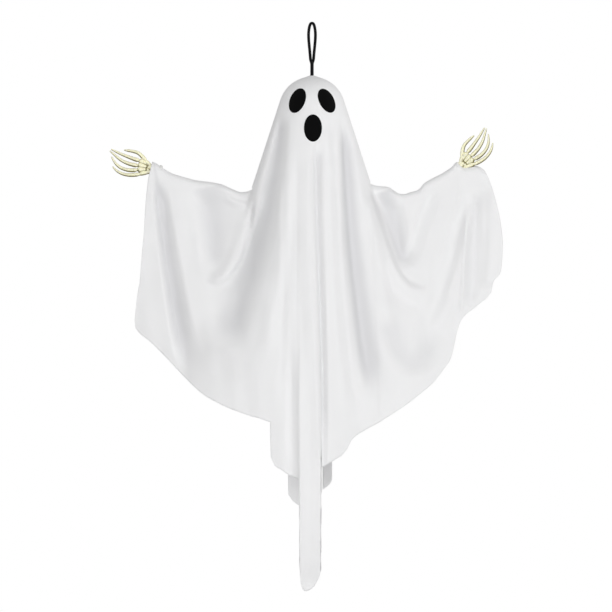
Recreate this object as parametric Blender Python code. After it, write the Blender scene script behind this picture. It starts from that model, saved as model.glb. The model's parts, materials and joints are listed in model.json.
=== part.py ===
"""Hanging ghost decoration: a white cloth over a foam head ball and two bendable wire arms, on a cord loop.

Metres, +Z up. The origin is where a hook bears inside the top of the cord loop, and the face looks along -Y.
Left and right are the sides of the picture: left is -X.
"""

import math

import bmesh
import bpy
import numpy as np
from mathutils import Matrix, Vector
from mathutils.geometry import interpolate_bezier

# Clearances
GAP = 0.0003
RUNNING_GAP = 0.0005
CUT_OVERRUN = 0.002
WELD_DISTANCE = 0.00005

# Hanging loop and its knot
CORD_D = 0.0036
CORD_SIDES_RESOLUTION = 2
LOOP_DROP = 0.0655
LOOP_EYE_W = 0.0126
LOOP_NECK_DROP = 0.0440
LOOP_POINTS = 66
STRAND_SPLIT = 0.0006
STEM_GAP = 0.0004
KNOT_R = 0.0056
KNOT_H = 0.0080
WASHER_D = 0.0180
WASHER_T = 0.0012
WASHER_BORE = 0.0086
STEM_PRESS_SHARE = 0.96

# Head
BALL_D = 0.0762
BORE_D = 0.0090
WELL_D = 0.0220
WELL_DEPTH = 0.0330
CLOTH_T = 0.0010
CLOTH_ROOM = 0.0008
CONE_DEG = 18.0

# Spine and chest
PLUG_H = 0.0120
PLUG_FLANGE_D = 0.0280
PLUG_FLANGE_T = 0.0020
PLUG_LEAD_SHARE = 0.86
SPINE_D = 0.0034
SPINE_PITCH = 0.0190
SPINE_WAIST_SHARE = 0.55
CHEST_DROP = 0.2190
HUB_D = 0.0180
HUB_W = 0.0110
HUB_GROOVE = 0.0012
HUB_SOCKET_DEPTH = 0.0060

# Arms
WIRE_D = 0.0030
LEFT_REACH = 0.1943
LEFT_RISE = 0.0425
LEFT_HAND_DEG = 159.0
RIGHT_REACH = 0.1808
RIGHT_RISE = 0.0440
RIGHT_HAND_DEG = 54.0
SLEEVE_D = 0.0084
SLEEVE_START = 0.0300
ROUTE_POINTS = 22

# Hands
HAND_LENGTH = 0.0580
STUB_D = 0.0092
STUB_LENGTH = 0.0130
SOCKET_DEPTH = 0.0110
BONE_D = 0.0042
CURL_POWER = 1.6
TIE_T = 0.0016
TIE_W = 0.0040
TIE_PLACE_SHARE = 0.58
STUB_ROOT_SHARE = 0.25
END_TAPER_SHARE = 0.6

# Face patches
EYE_LENGTH = 0.0320
EYE_W = 0.0187
EYE_SIDE = 0.0178
EYE_DROP = 0.0289
LEFT_EYE_DEG = 22.0
RIGHT_EYE_DEG = -27.0
MOUTH_LENGTH = 0.0334
MOUTH_W = 0.0221
MOUTH_DROP = 0.0626
PATCH_T = 0.0008

# Shroud
TAIL_DROP = 0.6298
SLIT_RISE = 0.0290
SWELL_DEPTH = 0.0220
SWELL_DROP = 0.1720
BLEND_DROP = 0.0490
JOIN_SOFT = 0.0074
JOIN_DROP = 0.0370
FADE_DROP = 0.0180
FOLD_DEPTH = 0.0123
FOLD_WIDTH = 0.0123
CUT_GAP = 0.0016
MIN_WRAP_SHARE = 0.85
JOIN_MIN_SHARE = 0.15
SIDE_FADE_SHARE = 0.80

# Picture pixels of the same sizes, for the folds that were drawn over the front view
AXIS_PX = 312.0
CROWN_PX = 78.0
LEFT_REACH_PX = 158.0
RIGHT_REACH_PX = 147.0
TAIL_DROP_PX = 512.0

# Counts
BALL_RINGS = 16
BALL_SIDES = 32
SPINE_RINGS_A_TURN = 8
SPINE_SIDES = 8
FINGER_RINGS = 18
FINGER_SIDES = 8
PATCH_RINGS = 3
PATCH_SIDES = 24

BALL_R = BALL_D / 2
CROWN_Z = -LOOP_DROP
DOME_R = BALL_R + CLOTH_ROOM + CLOTH_T
BALL_Z = CROWN_Z - DOME_R
CHEST_Z = -CHEST_DROP
CONE = math.radians(CONE_DEG)
CONE_TOP_Z = BALL_Z + DOME_R * math.sin(CONE)
CONE_TOP_R = DOME_R * math.cos(CONE)
TIE_R = STUB_D / 2 + GAP + TIE_T
COVER_R = TIE_R + CLOTH_ROOM + CLOTH_T

CLOTH_WHITE = ("cloth_white", (0.90, 0.90, 0.90), 0.85, 0.0)
PATCH_BLACK = ("patch_black", (0.008, 0.008, 0.009), 0.55, 0.0)
CORD_BLACK = ("cord_black", (0.010, 0.010, 0.010), 0.80, 0.0)
BONE_PLASTIC = ("bone_plastic", (0.84, 0.81, 0.56), 0.45, 0.0)
FOAM_WHITE = ("foam_white", (0.88, 0.88, 0.86), 0.95, 0.0)
WIRE_STEEL = ("wire_steel", (0.55, 0.56, 0.58), 0.35, 1.0)
SLEEVE_WHITE = ("sleeve_white", (0.82, 0.82, 0.80), 0.60, 0.0)
TAPE_WHITE = ("tape_white", (0.80, 0.80, 0.78), 0.70, 0.0)
PLUG_WHITE = ("plug_white", (0.75, 0.75, 0.73), 0.50, 0.0)

# Bends of the loop up one side: shares of its eye's half width and of its neck's drop
LOOP_BEND_SHARES = ((0.72, 0.72), (0.97, 0.46), (1.00, 0.24), (0.80, 0.065))
# The last bend below its top: shares of the eye's half width and of the top's height
LOOP_TOP_SHARES = (0.42, 0.55)

# Route of the arm wire from the chest, as shares of the side's reach and rise
LEFT_ARM_SHARES = ((0.16, 0.02), (0.374, 0.12), (0.457, 0.14), (0.572, 0.31), (0.742, 0.47), (0.869, 0.61))
RIGHT_ARM_SHARES = ((0.16, 0.03), (0.394, 0.16), (0.520, 0.10), (0.630, 0.10), (0.758, 0.32), (0.870, 0.57))

# Columns of the skirt between the two side cuts: quarter turns from the middle of the front, then the
# hem's place as shares of the skirt's half width and of the tail's drop below the crown
FRONT_COLUMN_SHARES = (
    (-1.00, -0.712, 0.670), (-0.81, -0.695, 0.740), (-0.62, -0.644, 0.758), (-0.49, -0.542, 0.764),
    (-0.36, -0.441, 0.773), (-0.27, -0.390, 0.820), (-0.22, -0.305, 0.830), (-0.16, -0.237, 0.836),
    (-0.13, -0.215, 0.988), (-0.085, -0.136, 1.000), (-0.03, -0.034, 0.998), (0.01, 0.051, 0.988),
    (0.05, 0.136, 0.967), (0.085, 0.186, 0.873), (0.12, 0.203, 0.760), (0.19, 0.322, 0.748),
    (0.28, 0.492, 0.736), (0.36, 0.593, 0.723), (0.43, 0.729, 0.697), (0.55, 0.864, 0.688),
    (0.70, 0.983, 0.682), (0.85, 1.051, 0.676), (1.00, 1.119, 0.672),
)
BACK_COLUMN_SHARES = (
    (1.18, 0.980, 0.722), (1.36, 0.720, 0.762), (1.56, 0.480, 0.790), (1.78, 0.310, 0.806), (2.00, 0.020, 0.825),
    (2.22, -0.300, 0.824), (2.44, -0.480, 0.795), (2.64, -0.600, 0.760), (2.82, -0.690, 0.722),
)
SKIRT_ROW_SHARES = (0.0, 0.05, 0.12, 0.20, 0.29, 0.39, 0.50, 0.61, 0.73, 0.86, 1.0)
BACK_ROW_SHARES = (0.0, 0.08, 0.22, 0.40, 0.60, 0.80, 1.0)
CAP_TURN_SHARES = (0.085, 0.27, 0.46, 0.64, 0.81, 1.0)
CONE_ROW_SHARES = (0.22, 0.46, 0.72, 1.0)

# Hem of each wing: share of the way out along it, then shares of the side's reach and of the tail's drop
LEFT_HEM_SHARES = (
    (0.15, 0.392, 0.658), (0.30, 0.532, 0.643), (0.45, 0.658, 0.622),
    (0.60, 0.787, 0.588), (0.75, 0.911, 0.549), (0.88, 1.013, 0.518), (0.96, 1.085, 0.498), (1.0, 1.120, 0.479),
)
RIGHT_HEM_SHARES = (
    (0.20, 0.619, 0.641), (0.40, 0.776, 0.604), (0.58, 0.871, 0.574), (0.76, 0.945, 0.540),
    (0.90, 0.980, 0.502), (1.0, 1.000, 0.478),
)
# How far the cloth's top stands over the arm on the way out, as shares of the cover's radius
LEFT_LIFT_SHARES = ((0.0, 2.3), (0.06, 0.55), (0.16, 0.05), (1.0, 0.05))
RIGHT_LIFT_SHARES = ((0.0, 2.5), (0.06, 0.8), (0.18, 0.9), (0.34, 0.1), (0.80, 0.1), (0.90, 0.8), (1.0, 0.9))
MOUTH_SHARE = 0.50
# Flap beyond the right hand: each column's top, then its hem, then its bulge outwards
RIGHT_FLAP_SHARES = (
    ((1.045, 0.184), (1.060, 0.458), 0.020), ((1.120, 0.184), (1.136, 0.441), 0.050),
    ((1.197, 0.200), (1.218, 0.418), 0.088),
)
RIGHT_BULGE_SHARE = 0.012
BULGE_POWER = 0.6
WING_COLUMN_SHARES = (
    0.0, 0.05, 0.11, 0.18, 0.25, 0.32, 0.39, 0.46, 0.53, 0.60, 0.67, 0.74, 0.81, 0.875, 0.94, 1.0,
)
WING_ROW_SHARES = (
    0.01, 0.03, 0.06, 0.10, 0.15, 0.21, 0.27, 0.33, 0.39, 0.45, 0.51, 0.57, 0.63, 0.69, 0.76, 0.84, 0.92, 1.0,
)
WING_BACK_ROW_SHARES = (0.01, 0.04, 0.09, 0.15, 0.28, 0.41, 0.55, 0.70, 0.85, 1.0)
# The hand's mouth is open above this share of the last column, and the flap starts below it
LIP_SHARE = 0.15

# Depth of the cloth in the middle of its front and back: share of the tail's drop, then of the dome's radius
FRONT_DEPTH_SHARES = (
    (0.062, 1.04), (0.088, 1.09), (0.141, 1.20), (0.213, 1.34), (0.336, 1.54), (0.473, 1.69), (0.629, 1.76),
    (0.766, 1.72), (0.863, 1.57), (0.932, 1.34), (1.000, 1.00),
)
BACK_DEPTH_SHARES = (
    (0.062, 1.04), (0.088, 1.10), (0.141, 1.20), (0.213, 1.34), (0.336, 1.47), (0.473, 1.50), (0.629, 1.44),
    (0.863, 1.36),
)
# Half width of the body's bulge at its foot on the arms' plane: share of the tail's drop, then of the skirt's
LEFT_EDGE_SHARES = (
    (0.141, 0.83), (0.207, 1.01), (0.238, 0.97), (0.277, 0.99), (0.316, 1.03), (0.355, 1.10), (0.385, 1.19),
    (0.414, 1.31), (0.463, 1.56), (0.521, 1.98), (0.580, 2.65), (0.619, 3.27), (0.668, 3.80),
)
RIGHT_EDGE_SHARES = (
    (0.141, 0.85), (0.207, 1.04), (0.238, 1.12), (0.277, 1.20), (0.316, 1.31), (0.355, 1.43), (0.385, 1.58),
    (0.414, 1.75), (0.463, 2.21), (0.521, 2.74), (0.580, 3.10), (0.619, 3.45), (0.668, 3.80),
)
BACK_EDGE_SHARES = (
    (0.141, 0.85), (0.207, 1.03), (0.316, 1.24), (0.434, 1.56), (0.551, 2.12), (0.668, 2.65), (0.863, 3.00),
)
# Power of the bulge's section, from round to peaked: share of the tail's drop, then the power
SECTION_POWER_SHARES = ((0.207, 0.50), (0.355, 0.60), (0.551, 0.90))
# Swing of the wings forward of the arms' cover: share of the side's reach, then of the swell's depth
SWELL_SHARES = ((0.32, 0.89), (0.57, 1.00), (0.89, 0.67), (1.20, 0.33))

# Folds of the front: a path in picture pixels, then shares of the fold's depth, of the fold's width to the
# right and to the left of its start and its end, and of its length over which it rises and dies away
LEFT_FOLD_SHARES = (
    (((164, 182), (167, 200), (172, 240), (180, 280), (190, 320), (200, 358), (206, 386)),
     -0.6, (2.0, 2.4), (0.8, 1.5), (0.12, 0.25)),
    (((165, 180), (172, 205), (180, 235), (188, 262), (195, 290), (202, 318), (208, 340)),
     0.4, (1.4, 2.0), (1.0, 1.4), (0.1, 0.3)),
    (((240, 200), (234, 222), (227, 244), (219, 262), (212, 275)), -0.5, (1.4, 0.9), (3.6, 1.2), (0.25, 0.15)),
    (((282, 116), (269, 165), (257.5, 205), (251.5, 226), (244.5, 246), (236, 263), (226, 275.5), (215, 281),
      (205, 279)),
     0.85, (0.8, 1.6), (0.9, 1.0), (0.2, 0.12)),
    (((287, 110), (279, 170), (273, 200), (268, 235), (260, 270), (250, 305), (240, 334), (228, 350),
      (215, 352), (204, 341)),
     -0.8, (1.4, 3.4), (0.9, 2.4), (0.1, 0.14)),
    (((244, 276), (235, 302), (226, 326)), -0.4, (2.0, 1.6), (2.8, 2.2), (0.3, 0.3)),
    (((290, 128), (287, 200), (283, 245), (276, 290), (268, 330), (260, 370), (254, 400)),
     0.3, (0.8, 1.4), (1.0, 2.0), (0.25, 0.25)),
    (((222, 191), (231, 199), (242, 204), (253, 202)), 0.26, (0.5, 0.5), (0.8, 0.8), (0.2, 0.4)),
)
MIDDLE_FOLD_SHARES = (
    (((290.5, 300), (292, 420), (292, 505)), -0.35, (0.5, 0.6), (0.7, 0.9), (0.5, 0.02)),
    (((299.5, 290), (299, 420), (299, 600)), 0.26, (1.3, 1.3), (0.3, 0.3), (0.4, 0.02)),
    (((308.5, 146), (308, 200), (312.5, 300), (316.5, 380), (320, 470)), 0.2, (0.3, 0.2), (1.2, 1.4), (0.1, 0.1)),
    (((313.5, 146), (313, 200), (317.3, 300), (320.8, 380), (322.2, 500)), -0.4, (1.2, 0.4), (0.3, 0.2),
     (0.06, 0.3)),
    (((333, 112), (337, 170), (340.5, 250), (346, 325), (354, 395), (357, 425)), 0.3, (0.4, 0.9), (0.7, 1.3),
     (0.12, 0.15)),
    (((339, 112), (348, 170), (360, 250), (366, 300), (373, 340), (380, 378), (383, 402)),
     -0.8, (1.4, 1.8), (0.9, 2.7), (0.1, 0.25)),
    (((361, 318), (366, 348), (371, 380)), -0.4, (1.6, 1.6), (2.0, 2.2), (0.4, 0.35)),
)
RIGHT_FOLD_SHARES = (
    (((358, 170), (371, 230), (384, 295), (397, 352)), 0.25, (0.9, 0.9), (1.0, 1.2), (0.25, 0.25)),
    (((366, 184), (379, 225), (385, 245), (391, 262), (398, 276), (408, 287), (420, 291), (432, 288)),
     1.05, (0.9, 0.8), (1.0, 2.0), (0.06, 0.25)),
    (((386, 194), (391, 215), (397, 235), (402, 255), (408, 272)), -0.5, (1.6, 1.2), (1.0, 0.8), (0.1, 0.2)),
    (((432, 188), (424, 212), (416, 236), (409, 258), (406, 274)), -0.4, (1.3, 1.2), (0.8, 0.8), (0.1, 0.25)),
    (((470, 184), (459, 222), (449, 258), (437, 298), (426, 328), (418, 350)), -0.5, (1.0, 1.6), (0.9, 1.4),
     (0.12, 0.25)),
    (((474, 196), (465, 235), (456, 270), (447, 298), (437, 322), (427, 346)), 0.3, (0.8, 1.2), (0.7, 0.8),
     (0.2, 0.3)),
    (((384, 308), (390, 335), (398, 353), (409, 362), (421, 359), (431, 344), (441, 320)),
     -0.45, (3.0, 2.6), (1.6, 2.0), (0.2, 0.3)),
    (((484, 182), (482, 215), (480, 250), (477, 285), (474, 308)), -0.35, (1.5, 1.6), (1.3, 1.3), (0.15, 0.1)),
    (((497, 170), (505, 210), (508, 250), (503, 295)), 0.9, (1.2, 1.2), (2.4, 2.6), (0.15, 0.1)),
)
FRONT_FOLDS = (*LEFT_FOLD_SHARES, *MIDDLE_FOLD_SHARES, *RIGHT_FOLD_SHARES)
# Folds of the back: evenly spread waves that deepen down the cloth
BACK_WAVES = 4
BACK_WAVE_SHARE = 0.36
BACK_WAVE_START_SHARE = 0.2
BACK_WAVE_RISE_SHARE = 0.5

# Skeleton hand, seen from its back: along the hand and towards the thumb as shares of its length, then
# the bone's width as a share of the bone size
THUMB_SHARES = ((0.080, 0.020, 0.90), (0.185, 0.060, 1.15), (0.225, 0.088, 0.80), (0.265, 0.110, 1.10),
                (0.330, 0.146, 1.02), (0.430, 0.180, 0.92), (0.550, 0.172, 0.80), (0.650, 0.152, 0.68),
                (0.720, 0.135, 0.40))
INDEX_SHARES = ((0.120, 0.025, 0.90), (0.220, 0.030, 0.95), (0.310, 0.033, 1.22), (0.352, 0.037, 0.82),
                (0.395, 0.035, 1.08), (0.475, 0.029, 1.02), (0.600, 0.028, 0.88), (0.760, 0.031, 0.72),
                (0.880, 0.040, 0.58), (0.985, 0.050, 0.36))
MIDDLE_SHARES = ((0.120, -0.030, 0.90), (0.210, -0.040, 0.95), (0.300, -0.053, 1.22), (0.342, -0.068, 0.82),
                 (0.385, -0.083, 1.08), (0.460, -0.096, 1.02), (0.545, -0.104, 0.95), (0.660, -0.098, 0.84),
                 (0.760, -0.080, 0.74), (0.870, -0.042, 0.60), (1.000, 0.005, 0.36))
RING_SHARES = ((0.120, -0.080, 0.90), (0.200, -0.108, 0.95), (0.280, -0.140, 1.22), (0.322, -0.163, 0.82),
               (0.365, -0.186, 1.05), (0.450, -0.222, 1.00), (0.550, -0.242, 0.92), (0.660, -0.243, 0.82),
               (0.760, -0.215, 0.72), (0.850, -0.162, 0.58), (0.925, -0.100, 0.36))
LITTLE_SHARES = ((0.060, -0.100, 0.90), (0.130, -0.152, 1.05), (0.200, -0.198, 1.12), (0.245, -0.230, 0.80),
                 (0.290, -0.258, 1.02), (0.370, -0.298, 0.98), (0.460, -0.332, 0.90), (0.570, -0.350, 0.80),
                 (0.670, -0.345, 0.70), (0.750, -0.322, 0.56), (0.825, -0.285, 0.36))
FINGER_SHARES = {
    "thumb": THUMB_SHARES, "index": INDEX_SHARES, "middle": MIDDLE_SHARES, "ring": RING_SHARES,
    "little": LITTLE_SHARES,
}
# Fingers curl away from the viewer towards their tips, as a share of the hand's length
CURL_SHARE = 0.13
CURL_START_SHARE = 0.30
ARCH_SHARE = 0.055
ARCH_END_SHARE = 0.62
# Rings of the stub: share of the way along it, then of its radius
STUB_RING_SHARES = ((0.0, 0.93), (0.12, 1.0), (0.85, 1.0), (1.0, 0.80))
# Wrist lumps: along the hand and towards the thumb, then their half sizes, all as shares of its length
CARPAL_SHARES = (
    (0.060, -0.010, 0.105, 0.064, 0.085), (0.175, 0.045, 0.062, 0.050, 0.042), (0.185, -0.040, 0.060, 0.052, 0.046),
    (0.165, -0.102, 0.062, 0.050, 0.046), (0.090, -0.125, 0.075, 0.045, 0.042),
)


def clear_scene():
    for item in list(bpy.data.objects):
        bpy.data.objects.remove(item, do_unlink=True)


def material(finish):
    name, colour, roughness, metallic = finish
    found = bpy.data.materials.get(name)
    if found:
        return found
    made = bpy.data.materials.new(name)
    made.use_nodes = True
    shader = made.node_tree.nodes["Principled BSDF"]
    shader.inputs["Base Color"].default_value = (*colour, 1.0)
    shader.inputs["Roughness"].default_value = roughness
    shader.inputs["Metallic"].default_value = metallic
    return made


def add_object(name, data, finish, place=None):
    """Link a new object with its material, placed by an optional matrix."""
    made = bpy.data.objects.new(name, data)
    bpy.context.scene.collection.objects.link(made)
    made.data.materials.append(material(finish))
    if place is not None:
        made.matrix_world = place
    return made


def mesh_from(name, points, faces):
    """A mesh with outward normals and smooth round faces."""
    data = bpy.data.meshes.new(name)
    data.from_pydata([tuple(p) for p in points], [], faces)
    work = bmesh.new()
    work.from_mesh(data)
    bmesh.ops.recalc_face_normals(work, faces=work.faces)
    for face in work.faces:
        face.smooth = True
    work.to_mesh(data)
    work.free()
    data.set_sharp_from_angle(angle=math.radians(40))
    return data


def smooth_route(points, count):
    """Points read evenly by length from a smooth curve through the given ones."""
    given = [Vector(p) for p in points]
    dense = []
    for i in range(len(given) - 1):
        before = given[max(i - 1, 0)]
        after = given[min(i + 2, len(given) - 1)]
        start, end = given[i], given[i + 1]
        reach = (end - start).length / 3
        lead = (end - before).normalized() * reach
        trail = (after - start).normalized() * reach
        piece = interpolate_bezier(start, start + lead, end - trail, end, count)
        dense += piece if i == 0 else piece[1:]
    steps = [0.0]
    for a, b in zip(dense, dense[1:], strict=False):
        steps.append(steps[-1] + (b - a).length)
    table = np.array([tuple(p) for p in dense])
    wanted = np.linspace(0, steps[-1], count)
    return [Vector([np.interp(w, steps, table[:, axis]) for axis in range(3)]) for w in wanted]


def cord_curve(name, points, diameter, finish):
    """A round cord as a curve object with a bevel and filled caps."""
    data = bpy.data.curves.new(name, "CURVE")
    data.dimensions = "3D"
    data.bevel_depth = diameter / 2
    data.bevel_resolution = CORD_SIDES_RESOLUTION
    data.use_fill_caps = True
    line = data.splines.new("POLY")
    line.points.add(len(points) - 1)
    for slot, point in zip(line.points, points, strict=True):
        slot.co = (*point, 1.0)
    return add_object(name, data, finish)


def revolve(profile, sides):
    """Points and faces of a closed outline of (radius, height) turned about Z."""
    points, faces = [], []
    count = len(profile)
    for turn in range(sides):
        angle = 2 * math.pi * turn / sides
        points += [(r * math.cos(angle), r * math.sin(angle), h) for r, h in profile]
    for turn in range(sides):
        here, there = turn * count, (turn + 1) % sides * count
        for i in range(count):
            j = (i + 1) % count
            faces.append((here + i, here + j, there + j, there + i))
    return points, faces


def swept(path, radii, sides, flat=1.0):
    """Points and faces of a solid with round sections of the given radii along a path."""
    points, faces = [], []
    side = Vector((0, 1, 0))
    for i, here in enumerate(path):
        ahead = (path[min(i + 1, len(path) - 1)] - path[max(i - 1, 0)]).normalized()
        up = ahead.cross(side).normalized()
        across = up.cross(ahead).normalized()
        for k in range(sides):
            angle = 2 * math.pi * k / sides
            out = across * math.cos(angle) * flat + up * math.sin(angle)
            points.append(here + out * radii[i])
    for i in range(len(path) - 1):
        for k in range(sides):
            n = (k + 1) % sides
            faces.append((i * sides + k, i * sides + n, (i + 1) * sides + n, (i + 1) * sides + k))
    faces.append(tuple(reversed(range(sides))))
    faces.append(tuple((len(path) - 1) * sides + k for k in range(sides)))
    return points, faces


def tube(path, outer, inner, sides):
    """Points and faces of an open pipe along a path."""
    shell, around = swept(path, [outer] * len(path), sides)
    lining, _ = swept(path, [inner] * len(path), sides)
    walls = around[:-2]
    points = shell + lining
    shift = len(shell)
    faces = list(walls) + [tuple(shift + v for v in reversed(f)) for f in walls]
    last = (len(path) - 1) * sides
    for k in range(sides):
        n = (k + 1) % sides
        faces.append((k, shift + k, shift + n, n))
        faces.append((last + k, last + n, shift + last + n, shift + last + k))
    return points, faces


def apply_boolean(target, cutter, operation):
    """Apply a Boolean and remove the second object."""
    step = target.modifiers.new(operation, "BOOLEAN")
    step.object = cutter
    step.operation = operation
    graph = bpy.context.evaluated_depsgraph_get()
    done = bpy.data.meshes.new_from_object(target.evaluated_get(graph))
    target.modifiers.clear()
    target.data = done
    bpy.data.objects.remove(cutter, do_unlink=True)


def weld(data):
    """Merge the slivers that Booleans leave."""
    work = bmesh.new()
    work.from_mesh(data)
    bmesh.ops.remove_doubles(work, verts=work.verts, dist=WELD_DISTANCE)
    bmesh.ops.dissolve_degenerate(work, edges=work.edges, dist=WELD_DISTANCE / 10)
    work.to_mesh(data)
    work.free()


def strand_offset():
    return (CORD_D + STRAND_SPLIT) / 2


def hanging_loop():
    """The black cord from the crown up over the hook and back."""
    top = CORD_D / 2
    foot = CROWN_Z + GAP
    side = strand_offset()
    eye = LOOP_EYE_W / 2
    neck = -LOOP_NECK_DROP
    out_share, up_share = LOOP_TOP_SHARES
    rise = (
        (-side, 0, foot),
        (-side, 0, (foot + neck) / 2),
        (-side, 0, neck),
        *((-eye * out, 0, neck * down) for out, down in LOOP_BEND_SHARES),
        (-eye * out_share, 0, top * up_share),
    )
    fall = tuple((-x, y, z) for x, y, z in reversed(rise))
    route = smooth_route((*rise, (0, 0, top), *fall), LOOP_POINTS)
    return cord_curve("hanging_loop", route, CORD_D, CORD_BLACK)


def washer_z():
    """Top of the washer, under the roof of the ball's well."""
    return BALL_Z - BALL_R + WELL_DEPTH - RUNNING_GAP


def loop_stem():
    """Both strands of the cord inside the ball, fused side by side."""
    top = Vector((0, 0, CROWN_Z - STEM_GAP))
    foot = Vector((0, 0, washer_z() - WASHER_T))
    strands = []
    for side in (-1, 1):
        shift = Vector((side * CORD_D * STEM_PRESS_SHARE / 2, 0, 0))
        strand = mesh_from("loop_stem", *swept((foot + shift, top + shift), (CORD_D / 2,) * 2, 12))
        strands.append(add_object("loop_stem", strand, CORD_BLACK))
    apply_boolean(strands[0], strands[1], "UNION")
    return strands[0]


def loop_knot():
    """Tight stopper knot of both strands: three wraps under the washer."""
    top = washer_z() - WASHER_T - GAP
    wrap = KNOT_H / 3
    outline = [(0, top)]
    for turn in range(3):
        for step in range(5):
            angle = math.pi * step / 4
            bulge = KNOT_R - wrap / 2 * (1 - math.sin(angle))
            outline.append((bulge, top - wrap * (turn + (1 - math.cos(angle)) / 2)))
    outline.append((0, top - KNOT_H))
    return add_object("loop_knot", spun("loop_knot", outline, 20), CORD_BLACK)


def knot_washer():
    top = washer_z()
    outline = [
        (WASHER_BORE / 2, top), (WASHER_D / 2, top),
        (WASHER_D / 2, top - WASHER_T), (WASHER_BORE / 2, top - WASHER_T),
    ]
    points, faces = revolve(outline, 32)
    return add_object("knot_washer", mesh_from("knot_washer", points, faces), PLUG_WHITE)


def spun(name, outline, sides):
    """A mesh turned from an open outline whose ends lie on the Z axis."""
    work = bmesh.new()
    corners = [work.verts.new((r, 0, z)) for r, z in outline]
    edges = [work.edges.new(pair) for pair in zip(corners, corners[1:], strict=False)]
    bmesh.ops.spin(
        work, geom=corners + edges, axis=(0, 0, 1), cent=(0, 0, 0), steps=sides, angle=2 * math.pi,
        use_duplicate=False,
    )
    bmesh.ops.remove_doubles(work, verts=work.verts, dist=WELD_DISTANCE)
    bmesh.ops.recalc_face_normals(work, faces=work.faces)
    for face in work.faces:
        face.smooth = True
    data = bpy.data.meshes.new(name)
    work.to_mesh(data)
    work.free()
    data.set_sharp_from_angle(angle=math.radians(40))
    return data


def head_ball():
    """Foam ball with the cord's bore through its top and a well for the knot below."""
    roof = BALL_Z - BALL_R + WELL_DEPTH
    top = math.asin(BORE_D / 2 / BALL_R)
    foot = math.pi - math.asin(WELL_D / 2 / BALL_R)
    outline = [(BORE_D / 2, roof)]
    for step in range(BALL_RINGS + 1):
        angle = top + (foot - top) * step / BALL_RINGS
        outline.append((BALL_R * math.sin(angle), BALL_Z + BALL_R * math.cos(angle)))
    outline.append((WELL_D / 2, roof))
    points, faces = revolve(outline, BALL_SIDES)
    return add_object("head_ball", mesh_from("head_ball", points, faces), FOAM_WHITE)


def plug_foot():
    """Height of the plug's flange underside, below the rim of the ball's well."""
    rim = BALL_Z - math.sqrt(BALL_R**2 - (PLUG_FLANGE_D / 2) ** 2)
    return min(rim, BALL_Z - math.sqrt(BALL_R**2 - (WELL_D / 2) ** 2)) - GAP - PLUG_FLANGE_T


def spine_plug():
    """Flanged plug pressed into the ball's well, with a blind socket for the spine."""
    foot = plug_foot()
    seat = foot + PLUG_FLANGE_T
    body = WELL_D / 2 - GAP
    socket = SPINE_D / 2 + GAP
    outline = [
        (0, seat + PLUG_H), (body * PLUG_LEAD_SHARE, seat + PLUG_H), (body, seat + PLUG_H * PLUG_LEAD_SHARE),
        (body, seat), (PLUG_FLANGE_D / 2, seat), (PLUG_FLANGE_D / 2, foot), (socket, foot),
        (socket, seat + PLUG_H / 2), (0, seat + PLUG_H / 2),
    ]
    return add_object("spine_plug", spun("spine_plug", outline, 32), PLUG_WHITE)


def spine_wire():
    """Two strands of wire twisted together, from the plug down into the chest hub."""
    top = plug_foot() + PLUG_FLANGE_T + PLUG_H / 2 - GAP
    foot = CHEST_Z + HUB_D / 2 - HUB_SOCKET_DEPTH + GAP
    turns = (top - foot) / SPINE_PITCH
    rings = max(int(turns * SPINE_RINGS_A_TURN), 2)
    points, faces = [], []
    for i in range(rings + 1):
        for k in range(SPINE_SIDES):
            angle = 2 * math.pi * k / SPINE_SIDES
            radius = SPINE_D / 2 * (SPINE_WAIST_SHARE + (1 - SPINE_WAIST_SHARE) * abs(math.cos(angle)))
            swing = angle + 2 * math.pi * turns * i / rings
            points.append((radius * math.cos(swing), radius * math.sin(swing), foot + (top - foot) * i / rings))
    for i in range(rings):
        for k in range(SPINE_SIDES):
            n = (k + 1) % SPINE_SIDES
            here, there = i * SPINE_SIDES, (i + 1) * SPINE_SIDES
            faces.append((here + k, here + n, there + n, there + k))
    faces.append(tuple(reversed(range(SPINE_SIDES))))
    faces.append(tuple(rings * SPINE_SIDES + k for k in range(SPINE_SIDES)))
    return add_object("spine_wire", mesh_from("spine_wire", points, faces), WIRE_STEEL)


def chest_hub():
    """Drum of tape round the root of both arms, with a socket for the spine; it lies along Y."""
    half = HUB_W / 2
    outline = [
        (0, half), (HUB_D / 2 - HUB_GROOVE, half), (HUB_D / 2, half - HUB_GROOVE),
        (HUB_D / 2, HUB_GROOVE - half), (HUB_D / 2 - HUB_GROOVE, -half), (0, -half),
    ]
    place = Matrix.Translation((0, 0, CHEST_Z))
    data = spun("chest_hub", outline, 36)
    data.transform(Matrix.Rotation(math.pi / 2, 4, "X"))
    made = add_object("chest_hub", data, TAPE_WHITE, place)
    wide = SPINE_D / 2 + GAP
    socket = spun("socket", [(0, 0), (wide, 0), (wide, HUB_D), (0, HUB_D)], 20)
    cutter = add_object("socket", socket, TAPE_WHITE, place @ Matrix.Translation((0, 0, HUB_D / 2 - HUB_SOCKET_DEPTH)))
    apply_boolean(made, cutter, "DIFFERENCE")
    return made


def arm_side(side):
    """The named sizes of one arm: -1 is the picture's left."""
    if side < 0:
        return LEFT_REACH, LEFT_RISE, math.radians(LEFT_HAND_DEG), LEFT_ARM_SHARES
    return RIGHT_REACH, RIGHT_RISE, math.radians(RIGHT_HAND_DEG), RIGHT_ARM_SHARES


def hand_axis(side):
    angle = arm_side(side)[2]
    return Vector((math.cos(angle), 0, math.sin(angle)))


def wrist_point(side):
    reach, rise, _, _ = arm_side(side)
    return Vector((side * reach, 0, CHEST_Z + rise))


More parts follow.
